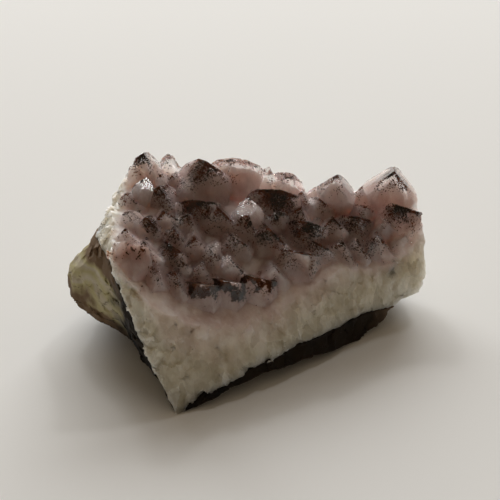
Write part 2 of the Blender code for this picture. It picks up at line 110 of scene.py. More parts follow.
# The outline, anticlockwise from the front corner that touches the ground.
STATIONS = (
    Station((-24.0, -13.0, 26.5), (-18.5, -18.5, 13.0), (-12.0, -24.7, 0.0)),
    Station((-17.0, -17.0, 20.0), (-13.0, -20.0, 10.5), (-8.8, -23.2, 0.5)),
    Station((-11.0, -16.0, 15.8), (-7.8, -18.6, 8.6), (-4.5, -21.0, 1.9)),
    Station((-4.4, -13.3, 13.1), (-2.0, -15.9, 7.6), (1.0, -18.1, 2.6), 0.4),
    Station((3.0, -9.0, 12.6), (5.0, -11.5, 7.6), (7.0, -13.7, 2.6), 0.4),
    Station((11.7, -2.8, 14.4), (13.1, -5.6, 8.0), (14.5, -8.2, 1.8), 0.3),
    Station((18.5, 1.5, 15.5), (20.0, -0.8, 8.0), (22.3, -0.9, 0.0)),
    Station((25.5, 5.5, 13.5), (27.0, 4.0, 8.5), (27.0, 3.5, 2.0)),
    Station((31.0, 9.5, 15.0), (32.2, 7.0, 9.5), (31.2, 7.0, 4.4)),
    Station((35.0, 13.0, 17.2), (35.6, 10.0, 11.0), (34.8, 9.0, 4.8)),
    Station((34.3, 19.0, 19.2), (34.6, 18.5, 11.0), (32.5, 16.5, 4.6), 0.3),
    Station((27.0, 22.5, 21.5), (28.0, 23.5, 11.0), (25.0, 21.0, 1.5), 0.6),
    Station((14.0, 23.5, 19.0), (14.0, 24.5, 10.0), (13.0, 23.0, 0.4), 0.4),
    Station((0.0, 23.5, 22.5), (0.0, 24.5, 11.0), (0.0, 23.5, 0.4), 0.4),
    Station((-12.0, 23.0, 25.0), (-13.0, 24.0, 12.0), (-13.0, 22.0, 0.5), 0.6),
    Station((-23.0, 17.0, 27.0), (-26.5, 18.0, 15.0), (-24.5, 17.0, 2.0), 0.8),
    Station((-24.8, 8.5, 25.6), (-29.0, 9.5, 17.0), (-31.0, 10.0, 6.0), 0.2),
    Station((-24.2, 1.0, 26.0), (-33.4, 3.5, 14.6), (-34.2, 2.5, 10.0)),
    Station((-23.6, -5.0, 26.3), (-32.5, -0.5, 14.5), (-31.5, -1.5, 8.0)),
    Station((-24.0, -9.5, 26.4), (-24.5, -8.0, 15.0), (-21.5, -7.0, 4.2)),
    Station((-24.2, -12.0, 26.5), (-20.5, -15.0, 12.0), (-15.5, -17.0, 2.5)),
)
RIM_STATIONS = STATIONS[:19]

# The floor of the druse, from which the points rise, inside its rim.
FLOOR_KNOTS = (
    (-12.0, 8.0, 23.6),
    (0.0, 10.0, 21.6),
    (13.0, 12.0, 19.2),
    (24.0, 13.0, 18.4),
    (-15.0, -4.0, 21.8),
    (-4.0, -2.0, 19.2),
    (8.0, 1.0, 17.6),
)

# The contact between milky quartz above and agate below.
CONTACT_KNOTS = (
    (-12.0, -24.7, -0.6),
    (-15.0, -22.0, 4.6),
    (-18.5, -18.5, 11.0),
    (-21.0, -16.0, 17.0),
    (-24.0, -13.0, 23.0),
    (-9.5, -24.0, 0.7),
    (-3.5, -20.9, 2.6),
    (1.0, -18.5, 3.5),
    (6.5, -14.5, 4.3),
    (13.0, -9.2, 4.6),
    (19.5, -3.4, 4.9),
    (24.5, 0.5, 4.7),
    (28.0, 3.5, 3.8),
    (32.0, 6.5, 3.4),
    (36.0, 10.0, 4.2),
    (34.0, 18.0, 7.5),
    (25.0, 23.0, 8.5),
    (10.0, 24.0, 7.5),
    (-8.0, 24.0, 9.0),
    (-22.0, 20.0, 14.0),
    (-27.0, 9.0, 19.6),
    (-26.5, -1.0, 21.5),
    (-34.0, 2.0, 24.0),
    (-16.0, 0.0, 9.0),
    (0.0, 4.0, 6.0),
    (16.0, 8.0, 6.5),
    (-15.0, -13.0, 7.5),
)

# Where the lilac of the points has faded to milk, along the front, round the back and inside.
MILK_KNOTS = (
    (-15.0, -19.0, 13.5),
    (-9.0, -16.0, 11.5),
    (-5.0, -14.5, 9.5),
    (1.0, -11.5, 9.0),
    (7.0, -8.0, 10.0),
    (11.0, -5.0, 10.5),
    (16.5, -1.0, 11.5),
    (23.5, 3.5, 12.5),
    (30.0, 8.0, 13.0),
    (34.0, 10.5, 13.5),
    (33.0, 19.0, 15.5),
    (14.0, 23.5, 14.5),
    (-2.0, 23.5, 17.5),
    (-14.0, 22.5, 22.0),
    (-25.0, 16.0, 29.0),
    (-26.0, 4.0, 30.0),
    (-25.5, -5.0, 30.0),
    (-23.0, -12.0, 27.0),
    (-19.0, -15.5, 22.0),
    (-18.0, 4.0, 23.0),
    (-12.0, 2.0, 18.5),
    (2.0, 8.0, 16.5),
    (18.0, 9.0, 15.0),
)

# The faces of the break that cut the points at the edge: distance from the origin, facing.
BREAK_FACES = (
    (13.9, (0.479, -0.781, 0.400)),
    (33.2, (-0.870, 0.000, 0.490)),
    (25.0, (0.000, 0.990, 0.140)),
    (38.8, (0.980, 0.150, 0.130)),
)

# The main points, from the back row to the front.
MAIN_POINTS = (
    QuartzPoint((-19.5, 17.0, 31.6), 8.0, -6, -8, 12, 0.1, cap=0.9, clear=1.2),
    QuartzPoint((-22.0, 16.0, 29.6), 6.0, -18, -4, 40, cap=0.5),
    QuartzPoint((-18.5, 20.5, 29.4), 6.0, 2, 0, 20, cap=0.5),
    QuartzPoint((-15.0, 21.0, 29.7), 7.0, 4, -6, 86, 0.3, cap=0.6, clear=1.3),
    QuartzPoint((-13.5, 16.5, 27.6), 7.4, -4, -10, 25, 0.1, cap=0.4),
    QuartzPoint((-7.4, 14.0, 31.3), 10.6, 2, -14, 60, 0.0, cap=1.1, clear=0.9),
    QuartzPoint((-0.9, 19.0, 29.7), 9.4, 2, -8, 88, 0.6, cap=0.6, clear=1.3),
    QuartzPoint((5.0, 21.0, 26.6), 6.2, 2, -4, 14, 0.2, cap=0.5, clear=1.6),
    QuartzPoint((9.5, 20.0, 25.8), 6.8, 16, -6, 84, 0.4, cap=0.6, clear=1.6),
    QuartzPoint((14.0, 21.0, 22.2), 5.6, -4, 0, 8, cap=0.5),
    QuartzPoint((18.0, 17.0, 26.9), 6.6, 2, -4, 2, cap=0.9, clear=1.2),
    QuartzPoint((23.0, 19.0, 23.2), 6.4, -4, 0, 20, cap=0.5),
    QuartzPoint((29.2, 16.0, 28.1), 10.4, -1, -10, 22, 0.05, cap=0.8, clear=1.9),
    QuartzPoint((31.5, 12.5, 22.4), 9.8, 12, -12, 84, 0.5, cap=1.3, clear=0.8),
    QuartzPoint((6.5, 12.0, 26.6), 9.8, 2, -14, 88, 0.5, cap=1.4, clear=0.8),
    QuartzPoint((-16.0, 10.0, 28.0), 7.8, -6, -10, 5, 0.2, cap=1.2),
    QuartzPoint((0.6, 9.8, 25.5), 6.0, -8, 42, 24, 0.0, cap=1.1, clear=0.2),
    QuartzPoint((-9.5, 6.5, 27.2), 9.0, -12, -12, 80, 0.5, cap=1.3),
    QuartzPoint((-18.0, 0.5, 26.6), 7.0, -12, -8, 18, 0.1, cap=1.4),
    QuartzPoint((-4.5, 5.0, 26.1), 10.8, 0, -12, 36, 0.2, cap=1.0),
    QuartzPoint((1.0, 4.5, 24.8), 8.8, 4, -10, 6, 0.2, cap=1.0),
    QuartzPoint((5.0, 2.5, 23.2), 8.8, 6, -8, 45, 0.3, cap=1.1),
    QuartzPoint((12.5, 6.0, 22.8), 9.6, 4, -10, 82, 0.4, cap=1.3),
    QuartzPoint((17.0, 8.5, 21.9), 6.8, -4, -6, 30, cap=1.1),
    QuartzPoint((22.0, 10.5, 21.4), 7.6, 2, -8, 86, 0.3, cap=1.2),
    QuartzPoint((28.0, 11.0, 19.9), 9.2, 6, -12, 50, 0.2, cap=0.3),
    QuartzPoint((26.0, 7.0, 18.4), 9.4, 2, -14, 34, 0.1, cap=1.0),
    QuartzPoint((19.0, 4.0, 19.2), 8.4, 2, -10, 26, 0.2, cap=0.8),
    QuartzPoint((14.0, 2.0, 20.2), 8.2, 0, -10, 60, 0.2, cap=0.9),
    QuartzPoint((10.5, -1.0, 20.4), 10.4, 8, -10, 92, 0.6, cap=0.9),
    QuartzPoint((-10.5, 3.0, 25.7), 7.6, -4, -8, 10, 0.2, cap=0.8),
    QuartzPoint((-15.0, 3.5, 26.4), 7.8, -8, -6, 44, 0.1, cap=0.9),
    QuartzPoint((-13.0, -1.0, 25.2), 8.4, -6, -10, 22, 0.2, cap=0.9),
    QuartzPoint((-13.5, -5.5, 24.2), 7.6, -8, -8, 50, 0.1, cap=1.3),
    QuartzPoint((-9.0, -2.5, 23.8), 7.8, -2, -10, 34, 0.1, cap=0.9),
    QuartzPoint((-5.5, -4.0, 22.6), 8.4, 0, -10, 12, 0.3, cap=0.6),
    QuartzPoint((-2.0, -0.5, 23.0), 8.4, -4, -10, 50, 0.1, cap=0.8),
    QuartzPoint((-2.0, -5.5, 20.8), 8.6, 2, -10, 40, 0.2, cap=0.5),
    QuartzPoint((-7.5, -7.5, 20.9), 8.2, -4, -10, 20, 0.2, cap=0.7),
    QuartzPoint((-2.5, -9.0, 18.6), 8.6, 0, -12, 90, 0.6, cap=2.2, clear=0.05),
    QuartzPoint((-7.5, -11.0, 19.3), 8.0, -4, -12, 92, 0.6, cap=2.2, clear=0.05),
    QuartzPoint((2.5, -7.0, 18.2), 8.2, 4, -12, 86, 0.6, cap=1.9, clear=0.05),
    QuartzPoint((-12.0, -11.0, 21.6), 8.0, -6, -10, 10, 0.3, cap=0.9),
    QuartzPoint((-21.2, -11.5, 28.4), 8.6, -24, -8, 75, 0.4, cap=1.5, clear=0.05),
    QuartzPoint((-18.0, -8.5, 26.6), 7.6, -14, -6, 30, 0.1, cap=0.8),
    QuartzPoint((-16.5, -12.0, 24.4), 7.6, -12, -8, 6, 0.2, cap=0.9),
    QuartzPoint((-21.5, -5.0, 27.2), 7.4, -20, -2, 30, 0.1, cap=0.5),
    QuartzPoint((6.0, -4.5, 18.6), 7.8, 8, -10, 44, 0.1, cap=0.4),
    QuartzPoint((11.0, 9.5, 23.6), 8.0, 6, -10, 20, 0.2, cap=1.0),
    QuartzPoint((14.5, 14.5, 23.2), 7.8, 4, -8, 50, 0.1, cap=0.7),
    QuartzPoint((11.5, 16.5, 23.4), 6.8, 0, -8, 10, 0.2, cap=0.7),
    QuartzPoint((23.5, 14.5, 21.8), 8.0, 0, -8, 70, 0.3, cap=0.8),
    QuartzPoint((22.0, 5.5, 18.3), 7.8, 2, -10, 30, 0.1, cap=0.7),
    QuartzPoint((31.5, 9.0, 17.6), 7.6, 14, -10, 20, 0.1, cap=0.4),
    QuartzPoint((-22.5, 9.0, 27.2), 7.6, -18, -2, 14, 0.1, cap=0.5),
    QuartzPoint((-18.8, 12.6, 28.4), 4.0, 10, 40, 34, 0.0, cap=0.4),
    QuartzPoint((-21.5, 1.5, 27.4), 7.0, -18, -4, 8, 0.2, cap=0.5),
)


def linear(hex_colour: str) -> tuple[float, float, float, float]:
    """Turns an sRGB hex colour to the linear colour that a shader takes.

    Args:
        hex_colour: the colour, such as "#8a7a70".

    Returns:
        Linear red, green, blue, and an alpha of 1.
    """
    shares = [int(hex_colour[i : i + 2], 16) / 255 for i in (1, 3, 5)]
    red, green, blue = (s / 12.92 if s <= 0.04045 else ((s + 0.055) / 1.055) ** 2.4 for s in shares)
    return red, green, blue, 1.0


def per_mm(size: float) -> float:
    """The scale of a pattern, per metre of the row frame, whose features are size millimetres."""
    return 1.0 / (size * MM)


def ramp(value: Array, length: float) -> Array:
    """Rises from 0 to 1 as the value goes from 0 to the length, and is level outside that."""
    return np.clip(value / length, 0.0, 1.0)


def thin_plate(knots: tuple[Place, ...]) -> Height:
    """The smoothest height through the knots, as a bent thin plate takes it.

    Args:
        knots: places that the plate passes through.

    Returns:
        A function of x and y arrays.
    """
    table = np.array(knots, float)
    count = len(table)

    def bending(x: Array, y: Array) -> Array:
        """How each knot bends the plate at each place."""
        squared = (x[..., None] - table[:, 0]) ** 2 + (y[..., None] - table[:, 1]) ** 2
        return squared * np.log(squared + 1e-12)

    flat = np.column_stack([np.ones(count), table[:, :2]])
    system = np.zeros((count + 3, count + 3))
    system[:count, :count] = bending(table[:, 0], table[:, 1])
    system[:count, count:] = flat
    system[count:, :count] = flat.T
    weights = np.linalg.solve(system, np.concatenate([table[:, 2], np.zeros(3)]))

    def height(x: Array, y: Array) -> Array:
        """The plate's height.

        Args:
            x: where, along X.
            y: where, along Y.

        Returns:
            One height for each place.
        """
        x, y = np.asarray(x, float), np.asarray(y, float)
        bent = bending(x, y) @ weights[:count]
        return bent + weights[count] + weights[count + 1] * x + weights[count + 2] * y

    return height


@dataclass
class Body:
    """Distances outside a body at every node of the lattice, and the way its skin faces."""

    distance: Array
    facing: Array

    @classmethod
    def of(cls, field_values: Array, step: float) -> "Body":
        """Evens a field out, so that its values near nought are distances.

        Args:
            field_values: any field that is nought on the skin and below nought inside.
            step: distance between nodes.

        Returns:
            The body.
        """
        slope = np.stack(np.gradient(field_values, step), axis=-1)
        steepness = np.maximum(np.linalg.norm(slope, axis=-1), LEAST_STEEPNESS)
        facing = (slope / steepness[..., None]).astype(np.float32)
        return cls((field_values / steepness).astype(np.float32), facing)

    def joined(self, other: "Body") -> "Body":
        """The space in either body."""
        return self._chosen(other, other.distance < self.distance)

    def shared(self, other: "Body") -> "Body":
        """The space in both bodies."""
        return self._chosen(other, other.distance > self.distance)

    def without(self, other: "Body") -> "Body":
        """The space in this body that isn't in the other."""
        return self.shared(Body(-other.distance, -other.facing))

    def _chosen(self, other: "Body", theirs: Array) -> "Body":
        """Takes the other body's values at some nodes."""
        distance = np.where(theirs, other.distance, self.distance)
        return Body(distance, np.where(theirs[..., None], other.facing, self.facing))

    def smaller(self, amount: Array | float) -> "Body":
        """The body with its skin moved in."""
        return Body((self.distance + amount).astype(np.float32), self.facing)

    def worn(self, where: Array, amount: Array, slope: Array) -> "Body":
        """The body with its skin moved in at some nodes.

        Args:
            where: which nodes.
            amount: how far, at each of them.
            slope: how that changes along x, y and z, at each of them.

        Returns:
            The new body.
        """
        distance, facing = self.distance.copy(), self.facing.copy()
        distance[where] += amount
        facing[where] += slope
        return Body(distance, facing)


@dataclass(frozen=True)
class Lattice:
    """A regular lattice of places in the drawing, and the skins that can be drawn on it."""

    low: Place = (-36.6, -26.4, -1.2)
    high: Place = (38.1, 26.7, 33.6)
    step: float = 0.3
    # How strongly a corner is held to the middle of its cell, against the pull of an edge.
    crispness: float = 0.06
    # Limits on where a corner may go, as shares of a cell.
    least_rise: float = 0.02
    most_shift: float = 0.3
    cell_margin: float = 0.02

    def axis(self, which: int) -> Array:
        """The places along one axis."""
        count = int(round((self.high[which] - self.low[which]) / self.step)) + 1
        return self.low[which] + self.step * np.arange(count)

    def shape(self) -> tuple[int, int, int]:
        """How many nodes there are along each axis."""
        return len(self.axis(0)), len(self.axis(1)), len(self.axis(2))

    def grid(self) -> tuple[Array, Array, Array]:
        """The x, y and z of every node, each in a shape that broadcasts to the whole lattice."""
        x, y, z = (self.axis(i) for i in range(3))
        return x[:, None, None], y[None, :, None], z[None, None, :]

    def window(self, low: Array, high: Array) -> Window:
        """The part of the lattice that lies between two corners.

        Args:
            low: the corner with the least x, y and z.
            high: the opposite corner.

        Returns:
            Slices along x, y and z.
        """
        parts = []
        for i, count in enumerate(self.shape()):
            first = min(count, max(0, int((low[i] - self.low[i]) / self.step)))
            last = min(count, max(first, int((high[i] - self.low[i]) / self.step) + 2))
            parts.append(slice(first, last))
        return parts[0], parts[1], parts[2]

    def places(self, window: Window) -> Array:
        """The nodes of a window, as rows of x, y and z."""
        axes = [self.axis(i)[window[i]] for i in range(3)]
        return np.stack(np.meshgrid(*axes, indexing="ij"), axis=-1).reshape(-1, 3)

    def near(self, body: Body, reach: float) -> tuple[Array, Array]:
        """The nodes that lie within reach of a body's skin, and their places."""
        where = np.abs(body.distance) < reach
        return where, np.array(self.low) + np.argwhere(where) * self.step

    def nodes_at(self, places: Array) -> tuple[Array, Array, Array]:
        """The numbers of the nodes that are nearest to places.

        Args:
            places: rows of x, y and z.

        Returns:
            Node numbers along x, y and z.
        """
        cells = np.round((places - np.array(self.low)) / self.step).astype(int)
        cells = np.clip(cells, 0, np.array(self.shape()) - 1)
        return cells[:, 0], cells[:, 1], cells[:, 2]

    def skin(self, body: Body) -> tuple[Array, Array]:
        """Draws a body's closed skin, with one corner in each cell that it passes.

        Each corner goes where the faces that cross its cell meet, so edges stay crisp.

        Args:
            body: the body.

        Returns:
            Corners, and quads of corner numbers with their faces out.
        """
        inside = body.distance < 0
        steps = np.array(list(product((0, 1), repeat=3)))
        size = np.array(inside.shape) - 1
        count = np.zeros(size, np.uint8)
        for step in steps:
            count += inside[tuple(slice(s, s + n) for s, n in zip(step, size))]
        mixed = (count > 0) & (count < 8)
        cells = np.argwhere(mixed)
        number = np.full(size, -1, np.int32)
        number[mixed] = np.arange(len(cells))
        ends = [tuple((cells + step).T) for step in steps]
        places, facings = [], []
        for a, b in product(range(8), repeat=2):
            if b <= a or np.abs(steps[a] - steps[b]).sum() != 1:
                continue
            share, facing = self._crossing(body, ends[a], ends[b], int(np.argmax(steps[b] - steps[a])))
            places.append(steps[a] + share[:, None] * (steps[b] - steps[a]))
            facings.append(facing)
        meeting = self._meeting(np.stack(places, 1), np.stack(facings, 1))
        return np.array(self.low) + (cells + meeting) * self.step, self._quads(inside, number)

    def _crossing(self, body: Body, a: tuple, b: tuple, axis: int) -> tuple[Array, Array]:
        """Where the skin crosses the lattice edges between two rows of nodes.

        Args:
            body: the body.
            a: one node of each edge.
            b: the other node of each edge, one step up the axis.
            axis: the axis.

        Returns:
            The share of the way from a to b, and the skin's facing there, or a facing of
            nought where an edge isn't crossed.
        """
        value_a, value_b = body.distance[a], body.distance[b]
        facing_a, facing_b = body.facing[a], body.facing[b]
        crossed = (value_a < 0) != (value_b < 0)
        a_in = value_a < 0
        value_in, value_out = np.where(a_in, value_a, value_b), np.where(a_in, value_b, value_a)
        sign = np.where(a_in, self.step, -self.step)
        rise_in = np.where(a_in, facing_a[:, axis], facing_b[:, axis]) * sign
        rise_out = np.where(a_in, facing_b[:, axis], facing_a[:, axis]) * sign
        even = value_in / np.where(crossed, value_in - value_out, 1.0)
        run_in, run_out = (np.maximum(rise, self.least_rise) for rise in (rise_in, rise_out))
        from_in = np.where(rise_in > self.least_rise, -value_in / run_in, even)
        from_out = np.where(rise_out > self.least_rise, 1 - value_out / run_out, even)
        bulges = value_in + rise_in <= value_out
        takes_in = np.where(bulges, from_in < from_out, from_in > from_out)
        share = np.where(takes_in, from_in, from_out)
        share = np.clip(share, even - self.most_shift, even + self.most_shift)
        share = np.clip(share, 0.0, 1.0)
        facing = np.where((takes_in == a_in)[:, None], facing_a, facing_b)
        length = np.maximum(np.linalg.norm(facing, axis=1), 1e-6)
        return np.where(a_in, share, 1 - share), facing * (crossed / length)[:, None]

    def _meeting(self, places: Array, facings: Array) -> Array:
        """Where the faces that cross each cell meet, or the middle of a lone face.

        Args:
            places: twelve places on the edges of each cell.
            facings: the facings there, nought where an edge isn't crossed.

        Returns:
            One place in each cell.
        """
        crossed = (facings**2).sum(axis=2, keepdims=True) > 0
        middle = (places * crossed).sum(axis=1) / crossed.sum(axis=1)
        system = np.einsum("nki,nkj->nij", facings, facings) + self.crispness * np.eye(3)
        ahead = ((places - middle[:, None]) * facings).sum(axis=2)
        pull = np.einsum("nk,nki->ni", ahead, facings)
        shift = np.linalg.solve(system, pull[..., None])[..., 0]
        return np.clip(middle + shift, self.cell_margin, 1 - self.cell_margin)

    @staticmethod
    def _quads(inside: Array, number: Array) -> Array:
        """One quad round every lattice edge that the skin crosses.

        Args:
            inside: which nodes lie in the body.
            number: each cell's corner number.

        Returns:
            Quads of corner numbers, with their faces out.
        """
        quads = []
        for axis in range(3):
            across, up = (axis + 1) % 3, (axis + 2) % 3
            cut = [slice(1, -1)] * 3
            cut[axis] = slice(0, -1)
            lower = inside[tuple(cut)]
            cut[axis] = slice(1, None)
            upper = inside[tuple(cut)]
            start = np.zeros(3, int)
            start[[across, up]] = 1
            for leaving in (True, False):
                edges = np.argwhere(lower & ~upper if leaving else ~lower & upper) + start
                around = []
                for a, b in ((1, 1), (0, 1), (0, 0), (1, 0)):
                    cell = edges.copy()
                    cell[:, across] -= a
                    cell[:, up] -= b
                    around.append(number[tuple(cell.T)])
                quads.append(np.column_stack(around if leaving else around[::-1]))
        return np.concatenate(quads)


@dataclass(frozen=True)
class RockGrain:
    """Smooth seeded unevenness in space."""

    seed: int
    grain: float
    octaves: int = 3
    fade: float = 0.5
    size: int = 32
    # Each octave is turned, shifted and made finer, so that none lines up with the last.
    turn: float = 0.9
    turn_axis: Place = (0.3, 0.7, 0.5)
    shift: float = 11.3
    finer: float = 2.03

    def at(self, places: Array) -> Array:
        """The unevenness at each place, from about -1 to 1.

        Args:
            places: rows of x, y and z.

        Returns:
            One value for each place.
        """
        table = np.random.default_rng(self.seed).uniform(-1.0, 1.0, (self.size,) * 3)
        turn = np.array(Matrix.Rotation(self.turn, 3, Vector(self.turn_axis).normalized()))
        total = np.zeros(len(places))
        strength = 1.0
        spots = places / self.grain
        for _ in range(self.octaves):
            spots = spots @ turn.T + self.shift
            base = np.floor(spots).astype(int)
            part = spots - base
            part = part * part * (3 - 2 * part)
            for step in product((0, 1), repeat=3):
                cell = (base + step) % self.size
                weight = np.prod(np.where(step, part, 1 - part), axis=1)
                total += strength * weight * table[tuple(cell.T)]
            strength *= self.fade
            spots = spots * self.finer
        return total


@dataclass(frozen=True)
class Hackle:
    """The small tilted faces that a grainy stone breaks into."""

    seed: int
    grain: float
    tilt: float
    push: float
    size: int = 24
    # How far a cell's middle keeps from the cell's walls.
    inset: float = 0.05

    def at(self, places: Array) -> tuple[Array, Array]:
        """How far each place is pushed in, and how that changes along x, y and z.

        Args:
            places: rows of x, y and z.

        Returns:
            One distance and one slope for each place.
        """
        chance = np.random.default_rng(self.seed)
        shape = (self.size,) * 3
        spread = chance.uniform(self.inset, 1 - self.inset, (*shape, 3))
        lean = chance.normal(0.0, self.tilt, (*shape, 3))
        stand = chance.uniform(-self.push, self.push, shape)
        spots = places / self.grain
        base = np.floor(spots).astype(int)
        nearest = np.full(len(places), np.inf)
        amount = np.zeros(len(places))
        slope = np.zeros((len(places), 3))
        for step in product((-1, 0, 1), repeat=3):
            cell = base + step
            key = tuple((cell % self.size).T)
            offset = spots - (cell + spread[key])
            distance = (offset**2).sum(axis=1)
            closer = distance < nearest
            value = (offset * lean[key]).sum(axis=1) * self.grain + stand[key]
            amount = np.where(closer, value, amount)
            slope = np.where(closer[:, None], lean[key], slope)
            nearest = np.where(closer, distance, nearest)
        return amount, slope


@dataclass(frozen=True)
class BrokenOutline:
    """The broken outside of the wall, drawn through its stations."""

    middle: tuple[float, float] = (0.0, 3.5)
    # The sole and the arch round it, as shares of the way out to the foot.
    sole_share: float = 0.46
    arch_share: float = 0.74
    arch_height: float = 1.1
    arch_follows_foot: float = 0.35
    foot_bulge: float = 0.3

    def line_down(self, station: Station) -> Array:
        """The places down one station, from its foot to its rim.

        Args:
            station: the station.

        Returns:
            Five places, the lowest first.
        """
        rim, waist, foot = (np.array(p) for p in (station.rim, station.waist, station.foot))
        upper, lower = (rim + waist) / 2, (waist + foot) / 2
        for place, bulge in ((upper, station.bulge), (lower, self.foot_bulge)):
            out = place[:2] - self.middle
            place[:2] += out / np.linalg.norm(out) * bulge
        return np.array([foot, lower, waist, upper, rim])

    def ring(self, height: float) -> tuple[Array, Array]:
        """The outline at one height: angles round the middle, and how the places there lie.

        Args:
            height: above the ground.

        Returns:
            Angles, and offsets from the middle.
        """
        places = []
        for station in STATIONS:
            line = self.line_down(station)
            places.append([np.interp(height, line[:, 2], line[:, i]) for i in (0, 1)])
        return self._in_order(np.array(places))

    def _in_order(self, places: Array) -> tuple[Array, Array]:
        """Sorts places by angle and closes the ring at both ends.

        Args:
            places: rows of x and y.

        Returns:
            Angles, and offsets from the middle.
        """
        offset = places - self.middle
        angles = np.arctan2(offset[:, 1], offset[:, 0])
        order = np.argsort(angles)
        angles, offset = angles[order], offset[order]
        angles = np.concatenate([[angles[-1] - 2 * np.pi], angles, [angles[0] + 2 * np.pi]])
        return angles, np.concatenate([offset[-1:], offset, offset[:1]])

    @staticmethod
    def reach(angle: Array, ring: tuple[Array, Array]) -> Array:
        """How far the ring is from the middle, in each direction.

        Args:
            angle: the directions.
            ring: angles and offsets of the places on the ring.

        Returns:
            One distance for each direction.
        """
        angles, offset = ring
        after = np.clip(np.searchsorted(angles, angle), 1, len(angles) - 1)
        start, end = offset[after - 1], offset[after]
        along = end - start
        cross = np.cos(angle) * along[..., 1] - np.sin(angle) * along[..., 0]
        return (start[..., 0] * along[..., 1] - start[..., 1] * along[..., 0]) / cross

    def _polar(self, lattice: Lattice) -> tuple[Array, Array]:
        """Angle and distance from the middle, at every x and y.

        Args:
            lattice: where they are worked out.

        Returns:
            Two arrays over x and y.
        """
        x, y, _ = lattice.grid()
        dx, dy = x[:, :, 0] - self.middle[0], y[:, :, 0] - self.middle[1]
        return np.arctan2(dy, dx), np.hypot(dx, dy)

    def side(self, lattice: Lattice) -> Body:
        """Everything within the broken sides.

        Args:
            lattice: where the body is worked out.

        Returns:
            The body.
        """
        angle, radius = self._polar(lattice)
        levels = [radius - self.reach(angle, self.ring(z)) for z in lattice.axis(2)]
        return Body.of(np.stack(levels, axis=-1), lattice.step)

    def above_underside(self, lattice: Lattice) -> Body:
        """Everything above the arched underside.

        Args:
            lattice: where the body is worked out.

        Returns:
            The body.
        """
        angle, radius = self._polar(lattice)
        feet = np.array([s.foot for s in STATIONS])
        share = radius / self.reach(angle, self._in_order(feet[:, :2]))
        offset = feet[:, :2] - self.middle
        foot_angle = np.arctan2(offset[:, 1], offset[:, 0])
        order = np.argsort(foot_angle)
        lift = np.interp(angle, foot_angle[order], feet[order, 2], period=2 * np.pi)
        arch = self.arch_height + self.arch_follows_foot * lift
        inner = np.clip((share - self.sole_share) / (self.arch_share - self.sole_share), 0, 1)
        outer = np.clip((share - self.arch_share) / (1 - self.arch_share), 0, 1)
        bottom = inner * arch + outer * (lift - arch)
        return Body.of(bottom[:, :, None] - lattice.grid()[2], lattice.step)


@dataclass(frozen=True)
class GrownFaces:
    """The growth faces of one quartz point, as planes of the drawing."""

    point: QuartzPoint
    floor: Height
    root_depth: float = 3.2
    floor_pull: float = 0.5
    end_face_angle: float = 38.2
    root_taper: float = 5.0
    side_spread: float = 0.045
    minor_step: float = 0.16
    chisel_sink: float = 0.12
    chisel_rise: float = 0.30
    floor_reach: float = 3.0
    spread_phase: float = 2.4
    box_share: float = 0.75
    box_margin: float = 0.8

    def length(self) -> float:
        """From tip to root."""
        x, y, z = self.point.tip
        return max(z - float(self.floor(x, y)), 1.0) + self.root_depth

    def turned(self) -> Array:
        """The turn from the point's own axes to the drawing's, which partly follows the floor.

        Returns:
            A matrix of three rows and columns.
        """
        x, y, _ = self.point.tip
        reach = self.floor_reach
        rise_x = float(self.floor(x + reach, y) - self.floor(x - reach, y)) / (2 * reach)
        rise_y = float(self.floor(x, y + reach) - self.floor(x, y - reach)) / (2 * reach)
        right = self.point.right - self.floor_pull * math.degrees(math.atan(rise_x))
        back = self.point.back - self.floor_pull * math.degrees(math.atan(rise_y))
        turn = (
            Matrix.Rotation(math.radians(right), 3, "Y")
            @ Matrix.Rotation(math.radians(-back), 3, "X")
            @ Matrix.Rotation(math.radians(self.point.turn), 3, "Z")
        )
        return np.array(turn)

    def end_heights(self) -> list[float]:
        """How high each of the six end faces meets the axis.

        Returns:
            Six heights above the mean.
        """
        heights = []
        for face in range(6):
            height = self.minor_step * (face % 2)
            if face % 3 == 0:
                height -= self.chisel_sink * self.point.chisel
            else:
                height += self.chisel_rise * self.point.chisel
            heights.append(height * self.point.width)
        return heights

    def highest(self, heights: list[float]) -> float:
        """The tip's height, where the lowest pair or three of end faces hold it down.

        Args:
            heights: where each end face meets the axis.

        Returns:
            The height along the axis.
        """
        pairs = [(heights[i] + heights[i + 3]) / 2 for i in range(3)]
        threes = [sum(heights[i::2]) / 3 for i in range(2)]
        return min(pairs + threes)

    def planes(self) -> tuple[Array, Array]:
        """Six sides, then six end faces, then the root.

        Returns:
            Facings, one in each row, and distances from the drawing's origin.
        """
        taper, rise = math.radians(self.root_taper), math.radians(self.end_face_angle)
        width = self.point.width
        shoulder = width / 2 / math.tan(rise)
        heights = self.end_heights()
        facings, reaches = [], []
        for side in range(6):
            angle = math.radians(60 * side)
            out = np.array([math.cos(angle), math.sin(angle), 0.0])
            uneven = self.side_spread * math.sin(self.spread_phase * side + self.point.turn)
            facing = out * math.cos(taper) - np.array([0, 0, math.sin(taper)])
            facings.append(facing)
            reaches.append(facing @ (out * width * (0.5 + uneven) - np.array([0, 0, shoulder])))
        for side in range(6):
            angle = math.radians(60 * side)
            out = np.array([math.cos(angle), math.sin(angle), 0.0])
            facing = out * math.cos(rise) + np.array([0, 0, math.sin(rise)])
            facings.append(facing)
            reaches.append(facing[2] * heights[side])
        facings.append(np.array([0.0, 0.0, -1.0]))
        reaches.append(self.length())
        own = np.array(facings)
        peak = np.array([0, 0, self.highest(heights)])
        drawn = own @ self.turned().T
        return drawn, np.array(reaches) - own @ peak + drawn @ np.array(self.point.tip)

    def bounds(self) -> tuple[Array, Array]:
        """Two corners of a box that holds the point.

        Returns:
            The lowest corner and the highest one.
        """
        axis = self.turned()[:, 2]
        tip = np.array(self.point.tip)
        root = tip - axis * self.length()
        margin = self.box_share * self.point.width + self.box_margin
        return np.minimum(tip, root) - margin, np.maximum(tip, root) + margin


